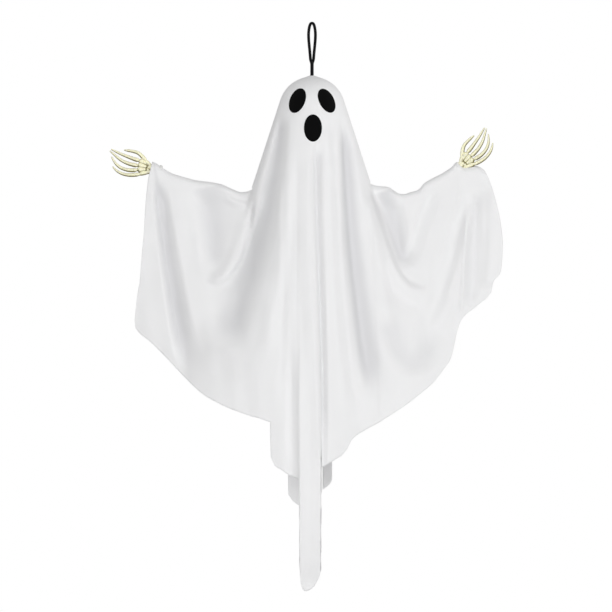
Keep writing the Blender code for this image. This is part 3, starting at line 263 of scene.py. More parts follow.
def flowing(value: np.ndarray | float, table: Line) -> np.ndarray:
    """Values between the rows of a table on a smooth curve, and the end rows' values beyond them."""
    place, height = np.array(table, float).T
    slope = np.gradient(height, place)
    slope[[0, -1]] = 0.0
    held = np.clip(value, place[0], place[-1])
    i = np.clip(np.searchsorted(place, held, side="right") - 1, 0, len(place) - 2)
    run = place[i + 1] - place[i]
    t = (held - place[i]) / run
    near, far = (1 + 2 * t) * (1 - t) ** 2, t**2 * (3 - 2 * t)
    bend = run * t * (1 - t) * ((1 - t) * slope[i] - t * slope[i + 1])
    return near * height[i] + far * height[i + 1] + bend


@dataclass(frozen=True)
class ClothForm:
    """Depth of both cloth layers over the picture, in picture units forward or back from the arms' plane.

    The middle is a bulge that hangs from the head, with the half widths and the depth that the tables give
    at heights of the picture. Beside it the cloth hangs over the arms, and the two run into each other.
    Each run is the length over which something sets in, and each fade gives where the folds begin to change
    and how far on the change is complete.
    """

    crown: float = 76.7
    dome: float = 33.3
    cone: float = math.radians(18.0)
    roll: float = 6.5
    hold: float = 0.95
    fall_in: float = 0.8
    fall_run: float = 18.0
    neck_run: float = 40.0
    swell_run: float = 140.0
    arm_run: float = 10.0
    crown_fade: Place = (104, 30)
    flank_fade: Place = (0.80, 0.2)
    flank_end: Place = (180, 25)
    join_round: Triple = (1, 6, 30)
    hold_round: Triple = (0.01, 2, 20)
    back_relief: float = 0.8
    back_fit: Place = (0.97, 4)
    # deep_fold and full_hollow set the painted shade in the cloth's hollows: folds deeper than deep_fold
    # darken its colour, fully at full_hollow picture units.
    deep_fold: float = -4.0
    full_hollow: float = 12.0
    wave_height: float = 0.22
    wave_runs: tuple[Triple, ...] = (
        (0.19, 0.05, 0.4), (-0.11, 0.09, 1.9), (0.31, -0.03, 3.1), (0.07, 0.21, 5.2),
    )
    front_depth: Line = (
        (90, 31), (110, 34), (150, 39), (187, 43.5), (250, 50), (320, 55), (400, 57.5), (470, 56), (520, 51),
        (555, 44), (590, 32),
    )
    back_depth: Line = ((90, 31), (110, 34), (150, 39), (187, 43), (250, 47), (320, 46), (400, 42), (520, 36))
    west_edge: Line = (
        (150, 47), (184, 57), (200, 58), (220, 61), (240, 66), (255, 72), (268, 80), (278, 90), (290, 103),
        (315, 122), (345, 142), (375, 165), (395, 190), (420, 215), (600, 240),
    )
    east_edge: Line = (
        (150, 48), (184, 59), (200, 63), (220, 68), (240, 74), (260, 81), (275, 89), (290, 99), (315, 125),
        (345, 155), (375, 175), (395, 195), (420, 215), (600, 240),
    )
    back_edge: Line = ((150, 48), (184, 58), (240, 70), (300, 88), (360, 120), (420, 150), (520, 170))
    powers: Line = ((184, 0.5), (260, 0.6), (360, 0.9))
    swell: Line = ((50, 16), (90, 18), (140, 12), (190, 6))

    def radius(self, down: np.ndarray | float) -> np.ndarray:
        """Half width of the hood: a dome that runs into a cone."""
        middle = self.crown + self.dome
        touch = middle - self.dome * math.sin(self.cone)
        dome = np.sqrt(np.maximum(self.dome**2 - (np.asarray(down, float) - middle) ** 2, 0))
        cone = self.dome * math.cos(self.cone) + (down - touch) * math.tan(self.cone)
        return np.where(down < touch, dome, cone)

    def middle(self, down: np.ndarray, face: Face) -> np.ndarray:
        """Depth of the cloth in the middle of a layer."""
        table = self.front_depth if face is Face.FRONT else self.back_depth
        return np.minimum(self.radius(down), flowing(down, table))

    def hood(self, across: np.ndarray, down: np.ndarray, face: Face) -> np.ndarray:
        """Depth of the hood, whose rows are half ellipses."""
        share = (across - PICTURE.axis) / np.maximum(self.radius(down), 0.01)
        return self.middle(down, face) * np.sqrt(np.maximum(1 - share**2, 0))

    def bulge(self, across: np.ndarray, down: np.ndarray, drop: np.ndarray, face: Face) -> np.ndarray:
        """Depth of the middle, which leaves the hood's cone below the shoulders."""
        out = across - PICTURE.axis
        edge = flowing(down, self.back_edge)
        if face is Face.FRONT:
            edge = np.where(out < 0, flowing(down, self.west_edge), flowing(down, self.east_edge))
        power = flowing(down, self.powers)
        free = self.middle(down, face) * (1 - np.clip(np.abs(out) / edge, 0, 1) ** 2) ** power
        return free + (self.hood(across, down, face) - free) * (1 - smooth(drop / self.neck_run))

    def layer(self, across: np.ndarray, drop: np.ndarray) -> np.ndarray:
        """Depth of the cloth that hangs over an arm, from the distance below its top."""
        turn = 1 - np.minimum(drop / self.roll, 1)
        swell = flowing(np.abs(across - PICTURE.axis), self.swell)
        return self.roll * np.sqrt(1 - turn**2) + swell * smooth(drop / self.swell_run)

    def folds(self, across: np.ndarray, down: np.ndarray, face: Face) -> np.ndarray:
        """Relief of all folds: the back has the front's, turned about and softened."""
        if face is Face.FRONT:
            return sum(fold.relief(across, down) for fold in FRONT_FOLDS)
        turned = 2 * PICTURE.axis - across
        scale, shift = self.back_fit
        both = (fold.relief(turned, down * scale + shift) for fold in (*WEST_FOLDS, *EAST_FOLDS))
        return self.back_relief * sum(both)

    def hollow(self, across: np.ndarray, down: np.ndarray) -> np.ndarray:
        """Painted shade of the front's deep hollows at places of the picture, from 0 to 1, growing with their
        depth.
        """
        deep = (-fold.relief(across, down) for fold in FRONT_FOLDS if fold.height < self.deep_fold)
        return smooth(sum(deep) / self.full_hollow)

    def waves(self, across: np.ndarray, down: np.ndarray) -> np.ndarray:
        """Slight unevenness of hanging cloth: a few long waves that cross at odd angles."""
        height = self.wave_height
        return sum(height * np.sin(across * kx + down * ky + shift) for kx, ky, shift in self.wave_runs)

    def fade(self, across: np.ndarray, down: np.ndarray, drop: np.ndarray) -> np.ndarray:
        """Share of the folds that shows: none on the crown, the hood's flanks and the tops of the arms."""
        out, edge = np.abs(across - PICTURE.axis), self.radius(down)
        start, run = self.crown_fade
        shown = np.where(drop <= 0, smooth((down - start) / run), 1.0)
        start, run = self.flank_fade
        flank = smooth((out / np.maximum(edge, 1) - start) / run)
        start, run = self.flank_end
        shown = shown * np.where(down < start + run, 1 - flank * (1 - smooth((down - start) / run)), 1)
        return shown * np.where(out > edge, smooth(drop / self.arm_run), 1.0)

    def depth(self, across: np.ndarray, down: np.ndarray, drop: np.ndarray, face: Face) -> np.ndarray:
        """Depth of one layer of the cloth.

        Args:
            across: places across the picture.
            down: places down the picture.
            drop: distance of each place below the top of the cloth on its arm, or below the shoulders.
            face: the layer.

        Returns:
            The depth in picture units, which grows away from the arms.
        """
        on_hood = drop <= 0
        layer = self.layer(across, np.maximum(drop, 0))
        body = smooth_max(self.bulge(across, down, drop, face), layer, growing(drop, *self.join_round))
        relief = self.folds(across, down, face) + self.waves(across, down)
        base = np.where(on_hood, self.hood(across, down, face), body)
        found = base + relief * self.fade(across, down, drop)
        held = self.roll * np.sqrt(1 - (1 - np.clip(drop / self.roll, 0, 1)) ** 2)
        held = held * growing(drop - self.roll, self.hold, -self.fall_in, self.fall_run)
        return np.where(on_hood, found, smooth_max(found, held, growing(drop, *self.hold_round)))


FORM = ClothForm()


@dataclass(frozen=True)
class Tongue:
    """A narrow strip of cloth that hangs on below the hem.

    Shares are those of the middle's columns between which it hangs, tip gives its foot as shares across and
    heights, and drift is how far its two lower corners stand off to the east.
    """

    shares: Place
    tip: Line
    drift: Place = (0.0, 0.0)
    rows: int = 24


@dataclass(frozen=True)
class Layer:
    """Outline of one layer of a half of the shroud in the picture, from the seam outwards.

    Stations give the places of the hem below the hood by shares of its columns.
    """

    seam: Line
    stations: Line
    hem: Line
    wing_hem: Line
    outer: Line
    tongues: tuple[Tongue, ...] = ()


@dataclass(frozen=True)
class HalfOutline:
    """Outline of one half of the shroud: the top of its arm, which both layers share, and its layers."""

    top: Line
    front: Layer
    back: Layer


SEAM: Line = (
    (312, 70), (312, 118), (314, 132), (315.5, 147), (317, 175), (318, 210), (319, 260), (320, 300),
    (320.8, 340), (321, 380), (321.3, 420), (322, 466), (322, 600),
)
BACK_SEAM: Line = ((312, 70), (312, 600))
WEST_OUTLINE = HalfOutline(
    top=((252.4, 189.5), (247, 191.5), (240, 192), (232, 189), (222, 184.5), (210, 182), (195, 180),
         (175, 174.4), (168, 171.2), (162, 167.4), (157, 163.8), (152.5, 161.6)),
    front=Layer(
        seam=SEAM,
        stations=((0, 322), (0.34, 298.5), (0.74, 269.6), (1, 258)),
        hem=((322, 421), (269.6, 421), (258, 417)),
        wing_hem=((258, 417), (250, 415), (228, 407), (212, 399), (200, 391), (183, 375), (168, 359),
                  (152, 343), (142, 335), (136, 328), (135, 321)),
        outer=((152.5, 161.6), (148.5, 178), (147, 190), (146, 200), (145, 215), (144, 235), (142, 255),
               (140, 280), (137, 300), (135, 321)),
        tongues=(
            Tongue(
                shares=(0.34, 0.74),
                tip=((0, 478), (0.36, 474), (0.64, 468.5), (0.85, 465), (0.96, 459), (1, 456)),
                drift=(0.2, 0.8),
                rows=28,
            ),
            Tongue(
                shares=(0.0, 0.34),
                tip=((0, 563), (0.05, 570), (0.14, 577), (0.33, 584.5), (0.52, 588.6), (0.68, 590),
                     (0.8, 589.6), (0.91, 586), (0.97, 578), (1, 563)),
                drift=(-0.6, 0.6),
                rows=90,
            ),
        ),
    ),
    back=Layer(
        seam=BACK_SEAM,
        stations=((0, 312), (0.42, 288), (1, 258)),
        hem=((312, 470), (288, 462), (279, 448), (273, 428), (269, 417), (258, 409)),
        wing_hem=((258, 409), (228, 399), (200, 383), (175, 359), (152, 331), (140, 308)),
        outer=((152.5, 161.6), (149, 200), (147, 240), (143, 280), (140, 308)),
        tongues=(
            Tongue(
                shares=(0.0, 0.42), tip=((0, 502), (0.3, 506.5), (0.6, 506), (0.82, 502), (1, 495)), rows=20,
            ),
        ),
    ),
)
EAST_OUTLINE = HalfOutline(
    top=((370.2, 184), (378, 186), (388, 187), (394, 190.5), (399, 193.5), (405, 194), (411, 192),
         (418, 190), (424, 183.5), (431, 179), (441, 174), (451, 167.5), (457, 162), (463, 167), (470, 166.5),
         (477, 166), (484, 170), (488, 177)),
    front=Layer(
        seam=SEAM,
        stations=((0, 322), (1, 378)),
        hem=((322, 466), (331, 461), (341, 455), (347, 448), (351, 440), (355, 435.5), (360, 432),
             (378, 422)),
        wing_hem=((378, 422), (403, 406), (420, 393), (432, 383), (441, 372), (449, 361), (453, 350),
                  (456, 335), (460, 322), (466, 314), (473, 309), (480, 303), (486, 298.5), (491, 292)),
        outer=((488, 177), (491.5, 186), (495.5, 200), (500, 220), (502.5, 240), (502, 258), (500, 273),
               (493.5, 281), (491, 292)),
    ),
    back=Layer(
        seam=BACK_SEAM,
        stations=((0, 312), (0.14, 321), (0.18, 323.8), (0.34, 333), (1, 378)),
        hem=((312, 470), (333, 455), (345, 440), (360, 422), (378, 414)),
        wing_hem=((378, 414), (403, 398), (420, 385), (436, 370), (447, 350), (455, 326), (464, 308),
                  (476, 298), (487, 286)),
        outer=((488, 177), (491, 190), (496, 220), (498, 245), (495, 268), (487, 286)),
        tongues=(
            Tongue(shares=(0.0, 0.14), tip=((0, 502), (1, 494)), rows=12),
            Tongue(shares=(0.18, 0.34), tip=((0, 490.5), (0.5, 487), (0.85, 484), (1, 480)), rows=12),
        ),
    ),
)


@dataclass(frozen=True)
class Counts:
    """Cells of one half of the cloth: middle columns, wing columns, hood rows and body rows."""

    middle: int = 56
    wing: int = 92
    hood: int = 64
    body: int = 132


class Tree:
    """A node tree, with short calls to add and join nodes."""

    def __init__(self, tree: bpy.types.NodeTree) -> None:
        """Take over a tree and empty it."""
        self.tree = tree
        tree.nodes.clear()

    def add(self, kind: str, sockets: dict[str, object] | None = None, **values: object) -> bpy.types.Node:
        """Add a node and set it up.

        Args:
            kind: the node's Blender type, without what all types begin with.
            sockets: its inputs' values by name.
            values: its properties by name.

        Returns:
            The node.
        """
        node = self.tree.nodes.new(f"ShaderNode{kind}")
        for name, value in values.items():
            setattr(node, name, value)
        for name, value in (sockets or {}).items():
            node.inputs[name].default_value = value
        return node

    def join(self, source: bpy.types.Node, output: str, target: bpy.types.Node, entry: str | int) -> None:
        """Link an output of one node to an input of another."""
        self.tree.links.new(source.outputs[output], target.inputs[entry])

    def largest(self, *sources: tuple[bpy.types.Node, str]) -> tuple[bpy.types.Node, str]:
        """The largest of several outputs, each given as a node and its output's name."""
        found = sources[0]
        for source in sources[1:]:
            node = self.add("Math", operation="MAXIMUM")
            self.join(*found, node, 0)
            self.join(*source, node, 1)
            found = (node, "Value")
        return found


@dataclass(frozen=True)
class Noise:
    """A noise pattern: its scale, its detail and the height of its bumps in metres."""

    scale: float
    detail: float
    depth: float


class Surface(Tree):
    """Node tree of a material with one shader."""

    def __init__(self, name: str, sockets: dict[str, object] | None = None) -> None:
        """Make an empty material with its output and its shader, whose sockets' values may be given."""
        self.material = bpy.data.materials.new(name)
        self.material.use_nodes = True
        super().__init__(self.material.node_tree)
        self.shader = self.add("BsdfPrincipled", sockets)
        self.join(self.shader, "BSDF", self.add("OutputMaterial"), "Surface")

    def place(self, source: str, scale: Triple = (1.0, 1.0, 1.0)) -> bpy.types.Node:
        """A Mapping node over Object or UV coordinates."""
        mapping = self.add("Mapping", {"Scale": scale})
        self.join(self.add("TexCoord"), source, mapping, "Vector")
        return mapping

    def noise(self, mapping: bpy.types.Node, noise: Noise) -> bpy.types.Node:
        """A noise texture over mapped coordinates."""
        node = self.add("TexNoise", {"Scale": noise.scale, "Detail": noise.detail})
        self.join(mapping, "Vector", node, "Vector")
        return node

    def threads(self, mapping: bpy.types.Node, scale: float, direction: str) -> bpy.types.Node:
        """A wave texture whose bands are threads."""
        sockets = {"Scale": scale, "Distortion": 0.4, "Detail Scale": 2.0}
        node = self.add("TexWave", sockets, wave_type="BANDS", bands_direction=direction, wave_profile="SIN")
        self.join(mapping, "Vector", node, "Vector")
        return node

    def ramp(self, source: bpy.types.Node, output: str, low: Triple, high: Triple) -> bpy.types.Node:
        """A colour ramp between two colours, joined to a value."""
        node = self.add("ValToRGB")
        for element, colour in zip(node.color_ramp.elements, (low, high), strict=True):
            element.color = (*colour, 1.0)
        self.join(source, output, node, "Fac")
        return node

    def bump(
        self, source: bpy.types.Node, output: str, depth: float, under: bpy.types.Node | None = None,
    ) -> bpy.types.Node:
        """A Bump node from a height, over an optional earlier one."""
        node = self.add("Bump", {"Strength": 1.0, "Distance": depth})
        self.join(source, output, node, "Height")
        if under is not None:
            self.join(under, "Normal", node, "Normal")
        return node

    def dress(
        self, colour: tuple[bpy.types.Node, str], normal: bpy.types.Node, **values: object,
    ) -> bpy.types.Material:
        """Join a colour and a bump to the shader and set its own sockets.

        Args:
            colour: the node that gives the colour, and its output's name.
            normal: the last Bump node.
            values: the shader's sockets, named with underscores for spaces.

        Returns:
            The material.
        """
        self.join(*colour, self.shader, "Base Color")
        self.join(normal, "Normal", self.shader, "Normal")
        for name, value in values.items():
            self.shader.inputs[name.replace("_", " ")].default_value = value
        return self.material


@dataclass(frozen=True)
class ClothFinish:
    """Thin white woven cloth: crossed threads, slight slubs and a soft sheen, with painted shade in the
    hollows of its folds and, very slight, in the grooves between its threads.
    """

    name: str = "shroud_cloth"
    colour: Triple = (0.87, 0.87, 0.875)
    # shadow is the painted shade colour of the fold hollows; between is the share of the colour left in the
    # grooves between threads, a painted shade
    shadow: Triple = (0.81, 0.81, 0.82)
    between: float = 0.985
    thread: float = 0.00045
    thread_depth: float = 0.00005
    slubs: Noise = Noise(420.0, 2.0, 0.00006)
    unevenness: Noise = Noise(26.0, 2.0, 0.00035)

    def material(self) -> bpy.types.Material:
        """Threads over slubs over slow unevenness; the colour carries painted shade in the grooves between
        threads and, from the hollow attribute, in the fold hollows.
        """
        nodes = Surface(self.name)
        sheet = nodes.place("UV")
        waves_a_metre = math.pi / self.thread / 10
        weave = nodes.largest(*((nodes.threads(sheet, waves_a_metre, way), "Fac") for way in "XY"))
        bump = None
        for noise in (self.unevenness, self.slubs):
            bump = nodes.bump(nodes.noise(sheet, noise), "Fac", noise.depth, bump)
        bump = nodes.bump(*weave, self.thread_depth, bump)
        # painted shade: the grooves between the threads a little darker than the threads
        gap = tuple(value * self.between for value in self.colour)
        # painted shade in the fold hollows, from the hollow attribute
        hollow = nodes.add("Attribute", attribute_name="hollow")
        toned = nodes.add("VectorMath", operation="MULTIPLY")
        nodes.join(nodes.ramp(*weave, gap, self.colour), "Color", toned, 0)
        nodes.join(nodes.ramp(hollow, "Fac", (1.0, 1.0, 1.0), self.shadow), "Color", toned, 1)
        return nodes.dress(
            (toned, "Vector"), bump, Roughness=0.82, Sheen_Weight=0.25, Sheen_Roughness=0.5, IOR=1.4,
            Specular_IOR_Level=0.25,
        )


def make_piece(
    work: bmesh.types.BMesh, name: str, material: bpy.types.Material, sharp: float = SHARP,
) -> bpy.types.Object:
    """Turn a bmesh into a smooth-shaded object at the origin, with its material, and free it.

    Args:
        work: the finished bmesh.
        name: the name of the piece.
        material: what it is made of.
        sharp: angle past which an edge stays sharp.

    Returns:
        The object.
    """
    mesh = bpy.data.meshes.new(name)
    for face in work.faces:
        face.smooth = True
    work.to_mesh(mesh)
    work.free()
    mesh.set_sharp_from_angle(angle=sharp)
    mesh.materials.append(material)
    return place_object(name, mesh)


def place_object(name: str, data: bpy.types.ID) -> bpy.types.Object:
    """Put a mesh, a camera or a lamp in the scene."""
    made = bpy.data.objects.new(name, data)
    bpy.context.scene.collection.objects.link(made)
    return made


def fill_attribute(mesh: bpy.types.Mesh, name: str, values: np.ndarray) -> None:
    """Give every vertex of a mesh its value of a named attribute."""
    mesh.attributes.new(name, "FLOAT", "POINT").data.foreach_set("value", values)


def corners(mesh: bpy.types.Mesh) -> np.ndarray:
    """Places of a mesh's vertices, one a row."""
    places = np.empty(3 * len(mesh.vertices))
    mesh.vertices.foreach_get("co", places)
    return places.reshape(-1, 3)


def lay_grid(
    work: bmesh.types.BMesh, uv: object, points: np.ndarray, marks: np.ndarray | None = None,
) -> dict[bmesh.types.BMVert, tuple[int, int]]:
    """Add a grid of faces whose corners lie at the given points.

    Args:
        work: the bmesh that it is added to.
        uv: the UV layer to fill.
        points: places in metres, rows by columns by three.
        marks: UVs of the points, or metres along the surface if left out.

    Returns:
        The row and column of each new vertex.
    """
    rows, columns = points.shape[:2]
    if marks is None:
        run_x = np.linalg.norm(np.diff(points, axis=1, prepend=points[:, :1]), axis=2).cumsum(axis=1)
        run_y = np.linalg.norm(np.diff(points, axis=0, prepend=points[:1]), axis=2).cumsum(axis=0)
        marks = np.dstack([run_x, run_y])
    fresh = bmesh.ops.create_grid(work, x_segments=columns - 1, y_segments=rows - 1, size=0.5)["verts"]
    place = {}
    for vert in fresh:
        place[vert] = (round((0.5 - vert.co.y) * (rows - 1)), round((vert.co.x + 0.5) * (columns - 1)))
    for cell in {cell for vert in fresh for cell in vert.link_faces}:
        for loop in cell.loops:
            loop[uv].uv = marks[place[loop.vert]]
    for vert, key in place.items():
        vert.co = points[key]
    return place


def tube_points(path: np.ndarray, radii: np.ndarray | float, sides: int) -> np.ndarray:
    """Places on a round tube about a path, with the first column repeated as the last.

    Args:
        path: points of the centre line.
        radii: the tube's radius, or one at each point.
        sides: columns round the tube.

    Returns:
        Rows along the path by columns round it by three.
    """
    ahead = np.gradient(path, axis=0)
    ahead /= np.linalg.norm(ahead, axis=1)[:, None]
    across = np.cross(ahead, np.array([0.0, 1.0, 0.0]))
    across /= np.linalg.norm(across, axis=1)[:, None]
    up = np.cross(ahead, across)
    turn = np.linspace(0, 2 * math.pi, sides + 1)
    ring = across[:, None] * np.cos(turn)[None, :, None] + up[:, None] * np.sin(turn)[None, :, None]
    return path[:, None] + ring * np.broadcast_to(radii, len(path))[:, None, None]


def close_ends(work: bmesh.types.BMesh) -> None:
    """Fill the open ends of tubes and turn all faces outwards."""
    bmesh.ops.holes_fill(work, edges=[edge for edge in work.edges if edge.is_boundary], sides=0)
    bmesh.ops.recalc_face_normals(work, faces=work.faces)


@dataclass
class Shroud:
    """One white sheet over the head and both arms, in two halves that meet in the pleat beside its tail."""

    finish: ClothFinish = field(default_factory=ClothFinish)
    counts: Counts = field(default_factory=Counts)
    thickness: float = 0.0005
    first_column: float = 0.004
    neck: float = 187.0
    fall_power: float = 1.2
    spread_rate: float = 2.5
    pinch: float = 1.6
    pinch_reach: float = 5.0
    # back_hollow: share of the front's painted fold shade, mirrored, that the back layer gets
    back_hollow: float = 0.7
    edge_points: int = 200

    def build(self) -> list[bpy.types.Object]:
        """Build and dress both halves."""
        material = self.finish.material()
        made = []
        for side, outline in ((Side.WEST, WEST_OUTLINE), (Side.EAST, EAST_OUTLINE)):
            work = bmesh.new()
            uv = work.loops.layers.uv.new("sheet")
            for face in Face:
                self.panel(work, uv, outline, face)
            bmesh.ops.remove_doubles(work, verts=work.verts, dist=MERGE)
            bmesh.ops.dissolve_degenerate(work, edges=work.edges, dist=FINE_MERGE)
            bmesh.ops.recalc_face_normals(work, faces=work.faces)
            foremost = min(work.faces, key=lambda face: face.calc_center_median().y)
            if foremost.normal.y > 0:
                bmesh.ops.reverse_faces(work, faces=work.faces)
            piece = make_piece(work, f"shroud_{side.word}", material, math.pi)
            wall = piece.modifiers.new("thickness", "SOLIDIFY")
            wall.thickness = self.thickness
            wall.offset = -1.0
            self.shade(piece.data)
            made.append(piece)
        return made

    def shade(self, mesh: bpy.types.Mesh) -> None:
        """Fill the hollow attribute: painted shade, high where the cloth hangs back in the hollows of its
        folds, and weaker on the back layer.
        """
        x, y, z = corners(mesh).T
        across, down = PICTURE.axis + x / PICTURE.unit, PICTURE.hook - z / PICTURE.unit
        front = FORM.hollow(across, down)
        back = self.back_hollow * FORM.hollow(2 * PICTURE.axis - across, down)
        fill_attribute(mesh, "hollow", np.where(y < 0, front, back))

    def column_shares(self) -> np.ndarray:
        """Places of the middle's columns from 0 to 1, with a very narrow first one to keep the seam shut."""
        return np.concatenate([[0.0, self.first_column], np.linspace(0, 1, self.counts.middle)[1:]])

    def panel(self, work: bmesh.types.BMesh, uv: object, outline: HalfOutline, face: Face) -> None:
        """Add one layer of a half: its grid, without the corner above the arm, and its tongues.

        Args:
            work: the half's bmesh.
            uv: its UV layer.
            outline: the half's outline.
            face: front or back layer.
        """
        layer = outline.front if face is Face.FRONT else outline.back
        across, down, drop = self.places(outline, layer)
        depth = FORM.depth(across, down, drop, face)
        hood, middle = self.counts.hood, self.counts.middle
        depth[: hood + 1, middle] = 0.0
        depth[hood, middle:] = 0.0
        self.grid(work, uv, across, down, depth, face, corner=(hood, middle))
        for tongue in layer.tongues:
            first, last = (round(share * middle) for share in tongue.shares)
            span = slice(first, last + 1)
            share = np.linspace(0, 1, last - first + 1)
            fall = np.linspace(0, 1, tongue.rows + 1)[:, None]
            tip = np.interp(share, *zip(*tongue.tip, strict=True))
            strip_x = across[-1, span] + fall**2 * np.interp(share, (0, 1), tongue.drift)
            strip_y = down[-1, span] + fall * (tip - down[-1, span])
            strip_drop = strip_y - (down[-1] - drop[-1])[span]
            self.grid(work, uv, strip_x, strip_y, FORM.depth(strip_x, strip_y, strip_drop, face), face)

    def grid(
        self, work: bmesh.types.BMesh, uv: object, across: np.ndarray, down: np.ndarray, depth: np.ndarray,
        face: Face, corner: tuple[int, int] | None = None,
    ) -> None:
        """Add a grid of cloth with its UVs in metres along the cloth.

        Args:
            work: the half's bmesh.
            uv: its UV layer.
            across: places across the picture, rows by columns.
            down: places down the picture.
            depth: depths in front of or behind the arms.
            face: front or back layer.
            corner: row and column of the corner above and beyond which the grid is cut away.
        """
        rise = self.pinch * np.exp(-((across - PICTURE.axis) ** 2 + depth**2) / self.pinch_reach**2)
        rise = np.where(down < FORM.crown + self.pinch_reach, rise, 0.0)
        points = np.dstack([PICTURE.x(across), face.value * depth * PICTURE.unit, PICTURE.z(down - rise)])
        place = lay_grid(work, uv, points)
        if corner:
            spare = [vert for vert, (row, column) in place.items() if row < corner[0] and column > corner[1]]
            bmesh.ops.delete(work, geom=spare, context="VERTS")

    def places(self, outline: HalfOutline, layer: Layer) -> tuple[np.ndarray, np.ndarray, np.ndarray]:
        """Picture places of a layer's grid points, with their drop below the top of the cloth.

        Args:
            outline: the half's outline.
            layer: the layer's outline.

        Returns:
            Places across and down, and drops, which are zero or less on the hood.
        """
        counts = self.counts
        last = counts.middle + 1
        rows, columns = counts.hood + counts.body + 1, counts.middle + counts.wing + 1
        across, down, drop = np.zeros((3, rows, columns))
        shares = self.column_shares()
        round_shares = np.sin(shares * math.pi / 2)
        shoulder = outline.top[0]
        shoulder_y = self.neck + (shoulder[1] - self.neck) * round_shares
        seam_x, seam_y = zip(*layer.seam, strict=True)
        hood_share = np.linspace(0, 1, counts.hood + 1)
        for column, share in enumerate(round_shares):
            height = self.hood_heights(hood_share, shoulder_y[column])
            middle = np.interp(height, seam_y, seam_x)
            side = PICTURE.axis + math.copysign(1, shoulder[0] - PICTURE.axis) * FORM.radius(height)
            across[: counts.hood + 1, column] = middle + (side - middle) * share
            down[: counts.hood + 1, column] = height
        fall = np.linspace(0, 1, counts.body + 1)[:, None] ** self.fall_power
        hem_x = np.interp(shares, *zip(*layer.stations, strict=True))
        hem_x[1] = hem_x[0] + (hem_x[2] - hem_x[0]) * self.first_column
        line = np.array(sorted(layer.hem))
        hem_y = np.interp(hem_x, line[:, 0], line[:, 1])
        hem_shares = (hem_x - hem_x[0]) / (hem_x[-1] - hem_x[0])
        spread = round_shares + (hem_shares - round_shares) * smooth(fall * self.spread_rate)
        body_down = shoulder_y + (hem_y - shoulder_y) * fall
        middle = np.interp(body_down, seam_y, seam_x)
        bound = np.interp(body_down, (shoulder[1], layer.hem[-1][1]), (shoulder[0], layer.hem[-1][0]))
        across[counts.hood :, :last] = middle + (bound - middle) * spread
        down[counts.hood :, :last] = body_down
        drop[counts.hood :, :last] = body_down - shoulder_y
        top = rounded_line(outline.top, counts.wing + 1)
        foot = rounded_line(layer.wing_hem, counts.wing + 1)
        edge = rounded_line(layer.outer, self.edge_points)
        wing = self.patch(top, foot, edge, fall[:, 0])
        across[counts.hood :, last:] = wing[:, 1:, 0]
        down[counts.hood :, last:] = wing[:, 1:, 1]
        drop[counts.hood :, last:] = (wing[..., 1] - top[:, 1])[:, 1:]
        return across, down, drop

    @staticmethod
    def hood_heights(shares: np.ndarray, last: float) -> np.ndarray:
        """Heights of the hood's rows, evenly along its outline from the crown."""
        arc = FORM.dome * (math.pi / 2 - FORM.cone)
        touch = FORM.crown + FORM.dome * (1 - math.sin(FORM.cone))
        slant = (last - touch) / math.cos(FORM.cone)
        run = shares * (arc + slant)
        dome = FORM.crown + FORM.dome * (1 - np.cos(np.minimum(run, arc) / FORM.dome))
        return dome + np.maximum(run - arc, 0) * math.cos(FORM.cone)

    @staticmethod
    def patch(top: np.ndarray, foot: np.ndarray, edge: np.ndarray, fall: np.ndarray) -> np.ndarray:
        """Places between a top, a foot and an outer edge.

        Args:
            top: points of the top, from the inner end outwards.
            foot: as many points of the foot.
            edge: points of the outer edge, from top to foot.
            fall: shares of the way down, one for each row.

        Returns:
            An array of rows, columns and the two coordinates.
        """
        straight = top[None] + (foot - top)[None] * fall[:, None, None]
        steps = np.linspace(0, 1, len(edge))
        held = np.column_stack([np.interp(fall, steps, edge[:, k]) for k in (0, 1)])
        out = np.linspace(0, 1, len(top))[None, :, None]
        return straight + (held - straight[:, -1])[:, None] * out**3


@dataclass(frozen=True)
class CordFinish:
    """Black round cord, braided of two crossing sets of strands, with painted shade in the gaps between its
    strands.
    """

    name: str = "braided_cord"
    colour: Triple = (0.002, 0.002, 0.0023)
    # pale: how much paler the strands' crests are painted than the shaded gaps between them
    pale: float = 3.2
    strands: int = 8
    pitch: float = 0.0026
    depth: float = 0.00022

    def material(self) -> bpy.types.Material:
        """Crossing bands over UVs that count strands round and pitches along."""
        nodes = Surface(self.name)
        ways = (nodes.place("UV"), nodes.place("UV", (1.0, -1.0, 1.0)))
        weave = nodes.largest(*((nodes.threads(way, math.pi / 5, "DIAGONAL"), "Fac") for way in ways))
        # painted shade: the gaps between the strands darker and their crests paler, by the same bands as the
        # bump
        pale = tuple(self.pale * value for value in self.colour)
        return nodes.dress(
            (nodes.ramp(*weave, self.colour, pale), "Color"), nodes.bump(*weave, self.depth),
            Roughness=0.62, Sheen_Weight=0.01, Sheen_Roughness=0.4, Specular_IOR_Level=0.05,
        )


